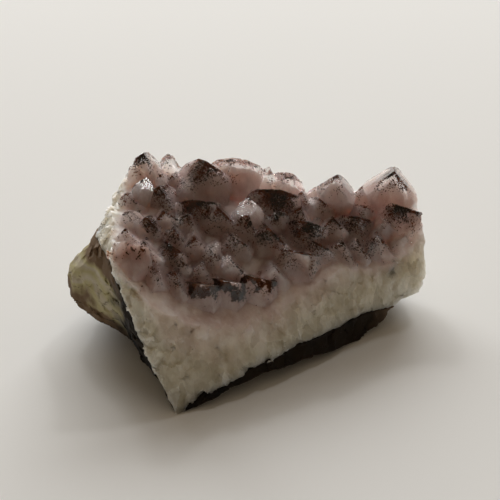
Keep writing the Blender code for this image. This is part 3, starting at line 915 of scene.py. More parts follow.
@dataclass
class Druse:
    """All quartz points: their clear outside and the hazy phantoms in them."""

    lattice: Lattice
    floor: Height
    side_clear: float = 0.3
    # Small points that fill the gaps between the main ones.
    fill_spacing: float = 4.3
    fill_width: tuple[float, float] = (4.4, 6.4)
    fill_height: tuple[float, float] = (2.2, 3.6)
    fill_right: tuple[float, float] = (-14.0, 14.0)
    fill_back: tuple[float, float] = (-16.0, 8.0)
    fill_chisel: tuple[float, float] = (0.0, 0.35)
    fill_wander: float = 0.3
    fill_seed: int = 11
    rim_margin: float = 0.6
    clearance: float = 0.36
    front_depth: float = 0.7
    # Twins on the flanks of the main points, as shares of a main point's own values.
    twins_each: int = 2
    twin_seed: int = 23
    twin_away: tuple[float, float] = (0.34, 0.46)
    twin_drop: tuple[float, float] = (0.30, 0.46)
    twin_width: tuple[float, float] = (0.32, 0.5)
    twin_chisel: tuple[float, float] = (0.0, 0.4)
    twin_lean: float = 5.0
    twin_turn: float = 4.0
    twin_cap: float = 0.8
    twin_clear: float = 0.6
    # Dusting is thickest at a tip and fades over this share of the point's width.
    dust_start: float = 1.2
    dust_depth: float = 0.42
    dust_least: float = 0.10
    dust_reach: float = 2.5

    def __post_init__(self) -> None:
        """Gathers the points and grows them."""
        self.points = [*MAIN_POINTS, *self.fill(), *self.twins()]
        far = np.full(self.lattice.shape(), 9.0, np.float32)
        nowhere = np.zeros((*self.lattice.shape(), 3), np.float32)
        self.outer = Body(far.copy(), nowhere.copy())
        self.inner = Body(far, nowhere)
        for point in self.points:
            self.grow(point)

    def fill(self) -> Iterator[QuartzPoint]:
        """Small points in the gaps between the main ones, in a loose seeded lattice.

        Yields:
            Each small point.
        """
        chance = random.Random(self.fill_seed)
        outline = [s.rim[:2] for s in RIM_STATIONS]
        farthest = max(max(abs(x), abs(y)) for x, y in outline)
        rank = int(farthest / self.fill_spacing) + 2
        row_spacing = self.fill_spacing * math.sin(math.radians(60))
        for row, column in product(range(-rank, rank + 1), repeat=2):
            stagger = 0.5 * (row % 2)
            x = (column + stagger + chance.uniform(-self.fill_wander, self.fill_wander)) * self.fill_spacing
            y = (row + chance.uniform(-self.fill_wander, self.fill_wander)) * row_spacing
            small = QuartzPoint(
                tip=(x, y, float(self.floor(x, y)) + chance.uniform(*self.fill_height)),
                width=chance.uniform(*self.fill_width),
                right=chance.uniform(*self.fill_right),
                back=chance.uniform(*self.fill_back),
                turn=chance.uniform(0, 60),
                chisel=chance.uniform(*self.fill_chisel),
            )
            if self.inside(x, y, outline) and self.stands_clear(small) and self.behind_front(small):
                yield small

    def inside(self, x: float, y: float, outline: list[tuple[float, float]]) -> bool:
        """True if the place lies within the outline, at least the rim margin from its edge.

        Args:
            x: where, along X.
            y: where, along Y.
            outline: corners of the outline, in order.

        Returns:
            Whether it does.
        """
        within = False
        place = Vector((x, y))
        for start, end in zip(outline, outline[1:] + outline[:1]):
            along = Vector(end) - Vector(start)
            crosses = (start[1] > y) != (end[1] > y)
            if crosses and x < along.x * (y - start[1]) / along.y + start[0]:
                within = not within
            share = (place - Vector(start)).dot(along) / along.dot(along)
            nearest = Vector(start) + along * max(0.0, min(1.0, share))
            if (place - nearest).length < self.rim_margin:
                return False
        return within

    def stands_clear(self, small: QuartzPoint) -> bool:
        """True if the small point's tip is far enough from the tip of every main point.

        Args:
            small: the small point.

        Returns:
            Whether it is.
        """
        return all(
            math.dist(small.tip[:2], main.tip[:2]) >= self.clearance * (small.width + main.width)
            for main in MAIN_POINTS
        )

    def behind_front(self, small: QuartzPoint) -> bool:
        """True if the small point stands far enough behind the broken front to stay whole."""
        distance, facing = BREAK_FACES[0]
        return float(np.dot(facing, small.tip)) < distance - self.front_depth * small.width

    def twins(self) -> Iterator[QuartzPoint]:
        """Smaller points that grew on the flanks of the main ones, nearly parallel to them.

        Yields:
            Each small point.
        """
        chance = random.Random(self.twin_seed)
        for main in MAIN_POINTS:
            for _ in range(self.twins_each):
                angle = chance.uniform(0, 2 * math.pi)
                away = chance.uniform(*self.twin_away) * main.width
                drop = chance.uniform(*self.twin_drop) * main.width
                x = main.tip[0] + away * math.cos(angle)
                y = main.tip[1] + away * math.sin(angle)
                small = QuartzPoint(
                    tip=(x, y, main.tip[2] - drop),
                    width=main.width * chance.uniform(*self.twin_width),
                    right=main.right + chance.uniform(-self.twin_lean, self.twin_lean),
                    back=main.back + chance.uniform(-self.twin_lean, self.twin_lean),
                    turn=main.turn + chance.uniform(-self.twin_turn, self.twin_turn),
                    chisel=chance.uniform(*self.twin_chisel),
                    cap=main.cap * self.twin_cap,
                    clear=main.clear * self.twin_clear,
                )
                if self.behind_front(small):
                    yield small

    def grow(self, point: QuartzPoint) -> None:
        """Adds one point to both bodies.

        Args:
            point: the point.
        """
        faces = GrownFaces(point, self.floor)
        window = self.lattice.window(*faces.bounds())
        places = self.lattice.places(window)
        if not len(places):
            return
        facings, offsets = faces.planes()
        outside = places @ facings.T - offsets
        inset = np.array([self.side_clear] * 6 + [point.clear] * 6 + [0.0])
        for body, distances in ((self.outer, outside), (self.inner, outside + inset)):
            shape = body.distance[window].shape
            nearest = distances.argmax(axis=1)
            most = distances.max(axis=1).reshape(shape)
            closer = most < body.distance[window]
            body.distance[window][closer] = most[closer]
            body.facing[window][closer] = facings[nearest].reshape(*shape, 3)[closer]

    def dusting(self, places: Array) -> Array:
        """How thickly iron oxide lies at each place: thick under tips, thin at the roots.

        Args:
            places: rows of x, y and z.

        Returns:
            A share from 0 to about 1.5 for each place.
        """
        nearest = np.full(len(places), self.dust_reach)
        result = np.zeros(len(places))
        for point in self.points:
            faces = GrownFaces(point, self.floor)
            low, high = faces.bounds()
            close = np.flatnonzero(((places > low) & (places < high)).all(axis=1))
            if not len(close):
                continue
            facings, offsets = faces.planes()
            distance = (places[close] @ facings.T - offsets).max(axis=1)
            depth = (np.array(point.tip) - places[close]) @ faces.turned()[:, 2]
            fade = self.dust_start - depth / (self.dust_depth * point.width)
            fade = np.clip(fade, self.dust_least, 1.0)
            better = distance < nearest[close]
            chosen = close[better]
            nearest[chosen] = distance[better]
            result[chosen] = point.cap * fade[better]
        return result


@dataclass
class Stone:
    """The whole specimen, as bodies that each piece's skin is drawn from."""

    lattice: Lattice = field(default_factory=Lattice)
    outline: BrokenOutline = field(default_factory=BrokenOutline)
    # How far the clear quartz keeps in from a break, and how the points reach past the wall.
    recess: float = 0.12
    overhang: float = 0.5
    overhang_start: float = 0.5
    overhang_rise: float = 4.0
    wall_below_floor: float = 0.6
    seam: float = 0.02
    # Near the ground the skin stays smooth, so that the stone stands flat.
    level_foot: float = 0.3
    foot_blend: float = 1.5
    # Unevenness of each skin, and how far it moves the skin.
    grain_reach: float = 1.2
    point_grain: RockGrain = RockGrain(3, 1.8)
    point_relief: float = 0.035
    rind_grain: RockGrain = RockGrain(13, 5.0, fade=0.45)
    rind_relief: float = 0.30
    break_grain: RockGrain = RockGrain(7, 3.4, fade=0.45)
    break_relief: float = 0.20
    # The small faces of the break, which are rougher on the ridge at the left.
    break_reach: float = 1.5
    broad_faces: Hackle = Hackle(9, 2.4, 0.11, 0.05)
    fine_faces: Hackle = Hackle(17, 2.2, 0.32, 0.42)
    ridge_x: float = -8.5
    ridge_slant: float = 0.45
    ridge_blend: float = 2.5
    ridge_above: float = 2.0

    def __post_init__(self) -> None:
        """Works out the sheets, the points and the broken outside."""
        self.floor = thin_plate((*(s.rim for s in RIM_STATIONS), *FLOOR_KNOTS))
        self.contact = thin_plate(CONTACT_KNOTS)
        self.milk = thin_plate(MILK_KNOTS)
        self.druse = Druse(self.lattice, self.floor)
        self.below_floor = self._below(self.floor)
        self.below_contact = self._below(self.contact)
        self.above_underside = self.outline.above_underside(self.lattice)
        smooth_side = self.outline.side(self.lattice)
        self.side = self._broken(smooth_side)
        self.limits = self._broken(self._limits(smooth_side))

    def _below(self, sheet: Height) -> Body:
        """Everything below a sheet.

        Args:
            sheet: its height over x and y.

        Returns:
            The body.
        """
        x, y, z = self.lattice.grid()
        flat_x, flat_y = x[:, :, 0] + 0 * y[:, :, 0], y[:, :, 0] + 0 * x[:, :, 0]
        return Body.of(z - sheet(flat_x, flat_y)[:, :, None], self.lattice.step)

    def _limits(self, side: Body) -> Body:
        """Everything within the break faces, and over the wall but for a small overhang.

        Args:
            side: the wall's smooth side.

        Returns:
            The body.
        """
        x, y, z = self.lattice.grid()
        over = ramp(self.below_floor.distance - self.overhang_start, self.overhang_rise)
        limits = side.smaller(-self.overhang * over)
        for distance, facing in BREAK_FACES:
            cut = (facing[0] * x + facing[1] * y + facing[2] * z - distance).astype(np.float32)
            limits = limits.shared(Body(cut, np.broadcast_to(np.float32(facing), (*cut.shape, 3))))
        return limits

    def clear_body(self) -> Body:
        """The clear quartz of the points, a little way in from the broken faces."""
        body = self.druse.outer.shared(self.limits.smaller(self.recess))
        return self._grained(body, self.point_grain, self.point_relief)

    def hazy_body(self) -> Body:
        """The milky root and the phantoms that rise from it.

        Returns:
            The body.
        """
        wall = self.side.shared(self.below_floor.smaller(self.wall_below_floor))
        body = self.druse.inner.shared(self.limits).joined(wall)
        return body.shared(self.above_underside).without(self.below_contact.smaller(-self.seam))

    def rind_body(self) -> Body:
        """The agate wall.

        Returns:
            The body.
        """
        wall = self.side.shared(self.above_underside).shared(self.below_floor)
        wall = self._grained(wall, self.rind_grain, self.rind_relief)
        wall = wall.shared(self.below_contact.smaller(self.seam))
        ground = -self.lattice.grid()[2] + np.zeros(self.lattice.shape())
        return wall.shared(Body.of(ground, self.lattice.step))

    def _lifted(self, places: Array) -> Array:
        """How free a place is of the ground, where the stone must stay flat."""
        return ramp(places[:, 2] - self.level_foot, self.foot_blend)

    def _grained(self, body: Body, grain: RockGrain, height: float) -> Body:
        """Adds smooth unevenness to a skin.

        Args:
            body: the body.
            grain: the unevenness.
            height: how far it moves the skin.

        Returns:
            The uneven body.
        """
        where, places = self.lattice.near(body, self.grain_reach)
        amount = np.zeros(body.distance.shape, np.float32)
        amount[where] = grain.at(places) * height * self._lifted(places)
        slope = np.stack(np.gradient(amount, self.lattice.step), axis=-1)
        return body.worn(where, amount[where], slope[where])

    def _broken(self, body: Body) -> Body:
        """Gives a smooth outline the rough of a break: low waves, and small tilted faces.

        Args:
            body: the body, whose whole skin is broken.

        Returns:
            The rough body, with fine faces on the ridge at the left and broad ones elsewhere.
        """
        body = self._grained(body, self.break_grain, self.break_relief)
        where, places = self.lattice.near(body, self.break_reach)
        above = places[:, 2] - self.contact(places[:, 0], places[:, 1])
        share = self._lifted(places)
        left = self.ridge_x - self.ridge_slant * places[:, 2] - places[:, 0]
        ridge = ramp(left, self.ridge_blend) * ramp(above, self.ridge_above)
        for hackle, part in ((self.broad_faces, share * (1 - ridge)), (self.fine_faces, share * ridge)):
            amount, slope = hackle.at(places)
            body = body.worn(where, amount * part, slope * part[:, None])
        return body


def largest_part(corners: Array, faces: Array) -> tuple[Array, Array]:
    """Keeps the connected part of a skin that has the most corners.

    Args:
        corners: places.
        faces: corner numbers, one face in each row.

    Returns:
        The corners and faces that are left.
    """
    label = np.arange(len(corners))
    while True:
        before = label.copy()
        least = label[faces].min(axis=1)
        for column in faces.T:
            np.minimum.at(label, column, least)
        label = label[label]
        if (label == before).all():
            break
    kept = label == np.bincount(label).argmax()
    number = np.cumsum(kept) - 1
    return corners[kept], number[faces[kept[faces[:, 0]]]]


def add(tree: Tree, kind: str, inputs: dict, out: int | str = 0, **settings: object) -> Socket:
    """Adds a node with its settings and links.

    Args:
        tree: the node tree.
        kind: the node's type, without the word ShaderNode.
        inputs: for each input's name or number, its value or the socket linked to it.
        out: name or number of the output that is given back.
        settings: attributes of the node, or stops for a colour ramp's places and colours.

    Returns:
        The output socket.
    """
    node = tree.nodes.new("ShaderNode" + kind)
    for number, (place, colour) in enumerate(settings.pop("stops", ())):
        if number > 1:
            node.color_ramp.elements.new(place)
        node.color_ramp.elements[number].position = place
        node.color_ramp.elements[number].color = linear(colour)
    for name, value in settings.items():
        setattr(node, name, value)
    for name, value in inputs.items():
        if isinstance(value, Socket):
            tree.links.new(value, node.inputs[name])
        else:
            node.inputs[name].default_value = value
    return node.outputs[out]


class Finish:
    """A material that is built from nodes in the object's own space."""

    name: str

    def surface(self, tree: Tree, where: Socket) -> Socket:
        """Builds the surface shader and gives back its socket."""
        raise NotImplementedError

    def inside(self, tree: Tree) -> Socket | None:
        """Builds the volume shader, if the finish has one."""
        return None

    def material(self) -> bpy.types.Material:
        """The material, ready for a piece.

        Returns:
            The new material.
        """
        made = bpy.data.materials.new(self.name)
        made.use_nodes = True
        tree = made.node_tree
        tree.nodes.clear()
        out = tree.nodes.new("ShaderNodeOutputMaterial")
        where = add(tree, "TexCoord", {}, out="Object")
        tree.links.new(self.surface(tree, where), out.inputs["Surface"])
        volume = self.inside(tree)
        if volume:
            tree.links.new(volume, out.inputs["Volume"])
        return made


@dataclass(frozen=True)
class ClearAmethyst(Finish):
    """Clear quartz as it grew: glassy faces with faint growth steps, seen deep into.

    The eye gets sharp glints, bent outlines of what lies inside, and a smoky mauve that
    deepens where the quartz is thick.
    """

    name: str = "clear_amethyst_as_grown"
    tint: str = "#fcf9f9"
    roughness: float = 0.03
    absorbed: str = "#c8aca2"
    density: float = 90.0
    wave_mm: float = 1.1
    wave_height_mm: float = 0.10
    step_mm: float = 0.35
    step_height_mm: float = 0.05

    def surface(self, tree: Tree, where: Socket) -> Socket:
        """Glass with low hillocks and fine growth steps.

        Args:
            tree: the material's node tree.
            where: the place on the piece.

        Returns:
            The surface shader.
        """
        wave = add(tree, "TexNoise", {"Vector": where, "Scale": per_mm(self.wave_mm), "Detail": 3.0})
        steps = add(
            tree,
            "TexNoise",
            {"Vector": where, "Scale": per_mm(self.step_mm), "Detail": 2.0, "Distortion": 0.8},
        )
        hillocks = {"Strength": 0.2, "Distance": self.wave_height_mm * MM, "Height": wave}
        low = add(tree, "Bump", hillocks)
        grown = {"Strength": 0.7, "Distance": self.step_height_mm * MM, "Height": steps, "Normal": low}
        glass = {
            "Base Color": linear(self.tint),
            "Roughness": self.roughness,
            "IOR": QUARTZ_IOR,
            "Transmission Weight": 1.0,
            "Normal": add(tree, "Bump", grown),
        }
        return add(tree, "BsdfPrincipled", glass)

    def inside(self, tree: Tree) -> Socket:
        """The smoky mauve that the quartz takes out of light."""
        murk = {"Color": linear(self.absorbed), "Density": self.density}
        return add(tree, "VolumeAbsorption", murk)


@dataclass(frozen=True)
class HazyQuartz(Finish):
    """Quartz full of fine bubbles and veils, milk white at the root and lilac at the points.

    The eye gets a soft glow from under the skin, a sugary sparkle on the break, and on the
    phantoms a dusting of brown iron oxide.
    """

    name: str = "hazy_quartz_broken"
    milk: str = "#f8f4e6"
    milk_shade: str = "#ccc4ae"
    lilac: str = "#f6eae7"
    lilac_shade: str = "#dcc6c2"
    smoke: str = "#96593c"
    dust_dark: str = "#22120a"
    dust_brown: str = "#5e3622"
    milk_deep: str = "#9c947c"
    milk_seam: str = "#fbf8ee"
    # Mottling, angular grains, clusters of specks and pits, by their real sizes.
    mottle_mm: float = 3.6
    flake_mm: float = 2.3
    flake_stray_mm: float = 1.2
    flake_bend_mm: float = 1.1
    cluster_mm: float = 2.4
    speck_mm: float = 0.36
    speck_stray_mm: float = 0.3
    speck_bend_mm: float = 0.35
    grain_mm: float = 0.9
    pit_mm: float = 0.7
    pit_depth_mm: float = 0.16
    # How far light spreads inside, and how much farther where the crust is thin.
    glow_mm: float = 5.5
    thin_glow_mm: float = 4.0

    def surface(self, tree: Tree, where: Socket) -> Socket:
        """Mottled satin quartz, dusted with specks.

        Args:
            tree: the material's node tree.
            where: the place on the piece.

        Returns:
            The surface shader.
        """
        drawn_out = add(tree, "Mapping", {"Vector": where, "Scale": (1.0, 1.0, 0.4)})
        mottle = add(
            tree,
            "TexNoise",
            {"Vector": drawn_out, "Scale": per_mm(self.mottle_mm), "Detail": 6.0, "Roughness": 0.66},
        )
        milk = add(tree, "ValToRGB", {0: mottle}, stops=((0.34, self.milk_shade), (0.6, self.milk)))
        lilac = add(tree, "ValToRGB", {0: mottle}, stops=((0.36, self.lilac_shade), (0.62, self.lilac)))
        share = add(tree, "Attribute", {}, out="Fac", attribute_name="lilac")
        milk = self._flaked(tree, drawn_out, milk)
        body = add(tree, "Mix", {0: share, 6: milk, 7: lilac}, out=2, data_type="RGBA")
        rust = add(tree, "ValToRGB", {0: mottle}, stops=((0.4, self.dust_dark), (0.58, self.dust_brown)))
        thick = self._dusting(tree, where)
        veil = add(tree, "Math", {0: thick, 1: 0.55}, operation="MULTIPLY", use_clamp=True)
        smoky = {0: veil, 6: body, 7: linear(self.smoke)}
        body = add(tree, "Mix", smoky, out=2, data_type="RGBA")
        dusted = {0: self._specks(tree, where, thick), 6: body, 7: rust}
        thin = add(tree, "Attribute", {}, out="Fac", attribute_name="thin")
        glow = {0: thin, 1: self.thin_glow_mm * MM, 2: self.glow_mm * MM}
        bare = add(tree, "Attribute", {}, out="Fac", attribute_name="bare")
        dull = add(tree, "Math", {0: 0.5, 1: thick}, operation="SUBTRACT", use_clamp=True)
        shine = add(tree, "Math", {0: bare, 1: dull}, operation="MULTIPLY")
        skin = {
            "Base Color": add(tree, "Mix", dusted, out=2, data_type="RGBA"),
            "Roughness": 0.34,
            "IOR": QUARTZ_IOR,
            "Subsurface Weight": 1.0,
            "Subsurface Radius": (1.0, 0.91, 0.82),
            "Subsurface Scale": add(tree, "Math", glow, operation="MULTIPLY_ADD"),
            "Specular IOR Level": shine,
            "Normal": self._grain(tree, where),
        }
        return add(tree, "BsdfPrincipled", skin)

    def _flaked(self, tree: Tree, where: Socket, milk: Socket) -> Socket:
        """Angular grains in the milk, each a little darker or paler, with pale seams here and there.

        Args:
            tree: the material's node tree.
            where: the place on the piece.
            milk: the colour of the milk.

        Returns:
            The colour of the grains.
        """
        wander = {"Vector": where, "Scale": per_mm(self.flake_stray_mm), "Detail": 3.0}
        stray = add(tree, "TexNoise", wander, out="Color")
        bend = {0: stray, 1: (self.flake_bend_mm * MM,) * 3, 2: where}
        bent = add(tree, "VectorMath", bend, operation="MULTIPLY_ADD")
        cells = {"Vector": bent, "Scale": per_mm(self.flake_mm)}
        chance = add(tree, "TexVoronoi", cells, out="Color")
        shade = add(tree, "MapRange", {"Value": chance, "To Min": 0.0, "To Max": 0.66})
        darker = {0: shade, 6: milk, 7: linear(self.milk_deep)}
        grains = add(tree, "Mix", darker, out=2, data_type="RGBA")
        edge = add(tree, "TexVoronoi", cells, feature="DISTANCE_TO_EDGE")
        near_edge = {"Value": edge, "From Min": 0.0, "From Max": 0.05, "To Min": 0.16, "To Max": 0.0}
        seam = add(tree, "MapRange", near_edge)
        pale = {0: seam, 6: grains, 7: linear(self.milk_seam)}
        return add(tree, "Mix", pale, out=2, data_type="RGBA")

    def _dusting(self, tree: Tree, where: Socket) -> Socket:
        """How thick the dusting is, in clusters.

        Args:
            tree: the material's node tree.
            where: the place on the piece.

        Returns:
            The thickness.
        """
        clusters = {"Vector": where, "Scale": per_mm(self.cluster_mm), "Detail": 3.0}
        cluster = add(tree, "TexNoise", clusters)
        dusting = add(tree, "Attribute", {}, out="Fac", attribute_name="dusting")
        patches = {"Value": cluster, "From Min": 0.40, "From Max": 0.60, "To Min": 0.3, "To Max": 1.25}
        patchy = add(tree, "MapRange", patches)
        return add(tree, "Math", {0: dusting, 1: patchy}, operation="MULTIPLY")

    def _specks(self, tree: Tree, where: Socket, thick: Socket) -> Socket:
        """Round specks, which merge where the dusting is thick.

        Args:
            tree: the material's node tree.
            where: the place on the piece.
            thick: how thick the dusting is.

        Returns:
            One on a speck and nought beside it.
        """
        wander = {"Vector": where, "Scale": per_mm(self.speck_stray_mm), "Detail": 2.0}
        stray = add(tree, "TexNoise", wander, out="Color")
        bend = {0: stray, 1: (self.speck_bend_mm * MM,) * 3, 2: where}
        bent = add(tree, "VectorMath", bend, operation="MULTIPLY_ADD")
        cells = {"Vector": bent, "Scale": per_mm(self.speck_mm)}
        distance = add(tree, "TexVoronoi", cells)
        chance = add(tree, "TexVoronoi", cells, out="Color")
        odds = add(tree, "Math", {0: chance, 1: -0.8, 2: thick}, operation="MULTIPLY_ADD")
        over = add(tree, "Math", {0: distance, 1: -0.9, 2: odds}, operation="MULTIPLY_ADD")
        return add(tree, "MapRange", {"Value": over, "From Min": -0.02, "From Max": 0.1})

    def _grain(self, tree: Tree, where: Socket) -> Socket:
        """A finely uneven skin with small tilted facets that catch the light.

        Args:
            tree: the material's node tree.
            where: the place on the piece.

        Returns:
            The way the skin faces.
        """
        fine = add(tree, "TexNoise", {"Vector": where, "Scale": per_mm(self.pit_mm), "Detail": 4.0})
        pits = {"Strength": 0.35, "Distance": self.pit_depth_mm * MM, "Height": fine}
        cells = {"Vector": where, "Scale": per_mm(self.grain_mm)}
        facet = add(tree, "TexVoronoi", cells, out="Color")
        middle = add(tree, "VectorMath", {0: facet, 1: (0.5,) * 3}, operation="SUBTRACT")
        tilt = {0: middle, 1: (0.42,) * 3, 2: add(tree, "Bump", pits)}
        tilted = add(tree, "VectorMath", tilt, operation="MULTIPLY_ADD")
        return add(tree, "VectorMath", {0: tilted}, operation="NORMALIZE")


@dataclass(frozen=True)
class IronOxide(Finish):
    """Specks of iron oxide that grew inside the quartz.

    The eye gets dull dark dots, nearly black in some patches and rust brown in others.
    """

    name: str = "iron_oxide_grown_in_quartz"
    dark: str = "#2a170f"
    rust: str = "#84472b"
    patch_mm: float = 2.2

    def surface(self, tree: Tree, where: Socket) -> Socket:
        """Dull grains that turn from black to rust in patches.

        Args:
            tree: the material's node tree.
            where: the place on the piece.

        Returns:
            The surface shader.
        """
        patch = add(tree, "TexNoise", {"Vector": where, "Scale": per_mm(self.patch_mm), "Detail": 3.0})
        colour = add(tree, "ValToRGB", {0: patch}, stops=((0.42, self.dark), (0.62, self.rust)))
        dull = {"Base Color": colour, "Roughness": 0.7, "Specular IOR Level": 0.0}
        return add(tree, "BsdfPrincipled", dull)


@dataclass(frozen=True)
class BandedAgate(Finish):
    """Agate, broken and dulled by the ground it lay in, under a dark weathered skin.

    The eye gets soft bands of olive, brown and grey with hardly any sheen, and a nearly black
    crust, which on the faces that look down is painted shade.
    """

    name: str = "banded_agate_weathered"
    olive: str = "#b5ad84"
    brown: str = "#75604a"
    grey: str = "#c0b8a6"
    # The crust colours: the rind's dark weathered skin, darkened further to near black as painted shade
    # where the rind lies under the stone.
    crust: str = "#0b0906"
    crust_and_shade_light: str = "#241b11"
    band_mm: float = 7.0
    warp_mm: float = 7.0
    pit_mm: float = 0.9
    pit_depth_mm: float = 0.2
    glow_mm: float = 1.0

    def surface(self, tree: Tree, where: Socket) -> Socket:
        """Bands that follow the contact, under the crust and its painted shade.

        Args:
            tree: the material's node tree.
            where: the place on the piece.

        Returns:
            The surface shader.
        """
        depth = add(tree, "Attribute", {}, out="Fac", attribute_name="depth")
        folds = {"Vector": where, "Scale": per_mm(self.warp_mm), "Detail": 5.0, "Roughness": 0.5}
        warp = add(tree, "TexNoise", folds)
        bent = add(tree, "Math", {0: warp, 1: 1.6, 2: depth}, operation="MULTIPLY_ADD")
        bands = add(tree, "Math", {0: bent, 1: 1.0}, operation="PINGPONG")
        stops = ((0.0, self.olive), (0.3, self.grey), (0.45, self.olive), (0.7, self.brown))
        colour = add(tree, "ValToRGB", {0: bands}, stops=stops)
        # The near-black crust colour is also the painted shade of the faces that look down.
        crust = add(tree, "ValToRGB", {0: warp}, stops=((0.4, self.crust), (0.65, self.crust_and_shade_light)))
        crust_and_shade = add(tree, "Attribute", {}, out="Fac", attribute_name="crust")
        mixed = add(tree, "Mix", {0: crust_and_shade, 6: colour, 7: crust}, out=2, data_type="RGBA")
        weathered = {"Vector": where, "Scale": per_mm(self.pit_mm), "Detail": 6.0, "Roughness": 0.6}
        fine = add(tree, "TexNoise", weathered)
        pits = {"Strength": 0.4, "Distance": self.pit_depth_mm * MM, "Height": fine}
        skin = {
            "Base Color": mixed,
            "Roughness": 0.62,
            "IOR": 1.54,
            "Specular IOR Level": 0.12,
            "Subsurface Weight": 0.25,
            "Subsurface Radius": (1.0, 0.8, 0.6),
            "Subsurface Scale": self.glow_mm * MM,
            "Normal": add(tree, "Bump", pits),
        }
        return add(tree, "BsdfPrincipled", skin)


@dataclass(frozen=True)
class TablePaper(Finish):
    """Matt white paper, as laid on a table.

    The eye gets an even pale ground that keeps the stone's shadow soft.
    """

    name: str = "white_paper_matt"
    colour: str = "#eeeeec"
    fibre_mm: float = 3.0
    fibre_height_mm: float = 0.02

    def surface(self, tree: Tree, where: Socket) -> Socket:
        """Paper with a faint fibre.

        Args:
            tree: the material's node tree.
            where: the place on the piece.

        Returns:
            The surface shader.
        """
        fibre = add(tree, "TexNoise", {"Vector": where, "Scale": per_mm(self.fibre_mm)})
        low = {"Strength": 0.1, "Distance": self.fibre_height_mm * MM, "Height": fibre}
        felt = add(tree, "Bump", low)
        paper = {"Base Color": linear(self.colour), "Roughness": 0.85, "Normal": felt}
        return add(tree, "BsdfPrincipled", paper)


class Slot(Enum):
    """The material slots that each piece names."""

    AMETHYST = "amethyst"
    AGATE = "agate"


@dataclass
class Piece:
    """One visible piece, drawn in millimetres and then moved to the row frame."""

    name: str
    node: str
    slot: Slot
    finish: Finish
    most_triangles: int = 190_000
    crease_angle: float = 28.0

    def draw(self, corners: Array, faces: Array) -> None:
        """Makes the mesh, still in the drawing, and thins it where it is flat.

        Args:
            corners: places in the drawing.
            faces: corner numbers, one face in each row.
        """
        data = bpy.data.meshes.new(self.name)
        data.from_pydata(corners, [], faces.tolist())
        self.made = bpy.data.objects.new(self.name, data)
        bpy.context.scene.collection.objects.link(self.made)
        triangles = len(faces) * (faces.shape[1] - 2)
        if triangles > self.most_triangles:
            thinning = self.made.modifiers.new("thinning", "DECIMATE")
            thinning.ratio = self.most_triangles / triangles
            seen = self.made.evaluated_get(bpy.context.evaluated_depsgraph_get())
            thinned = bpy.data.meshes.new_from_object(seen)
            self.made.modifiers.clear()
            self.made.data = thinned
            bpy.data.meshes.remove(data)
            thinned.name = self.name

    def corners(self) -> Array:
        """The mesh's corners, in the drawing.

        Returns:
            Rows of x, y and z.
        """
        flat = np.zeros(3 * len(self.made.data.vertices))
        self.made.data.vertices.foreach_get("co", flat)
        return flat.reshape(-1, 3)

    def facings(self) -> Array:
        """The way the skin faces at each corner.

        Returns:
            Rows of x, y and z.
        """
        flat = np.zeros(3 * len(self.made.data.vertices))
        self.made.data.vertex_normals.foreach_get("vector", flat)
        return flat.reshape(-1, 3)

    def keep(self, name: str, values: Array) -> None:
        """Keeps one number for each corner, for the finish to read."""
        layer = self.made.data.attributes.new(name, "FLOAT", "POINT")
        layer.data.foreach_set("value", values.astype(np.float32))

    def place(self) -> None:
        data = self.made.data
        scale = Matrix.Scale(DRAWN_TO_ROW, 4)
        data.transform(scale @ Matrix.Translation((-DRAWN_MIDDLE[0], -DRAWN_MIDDLE[1], 0.0)))
        data.polygons.foreach_set("use_smooth", [True] * len(data.polygons))
        data.set_sharp_from_angle(angle=math.radians(self.crease_angle))
        data.materials.append(self.finish.material())
        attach(self.made, "root")
        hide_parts(self.node)
        log.info("%s: %d faces", self.name, len(data.polygons))


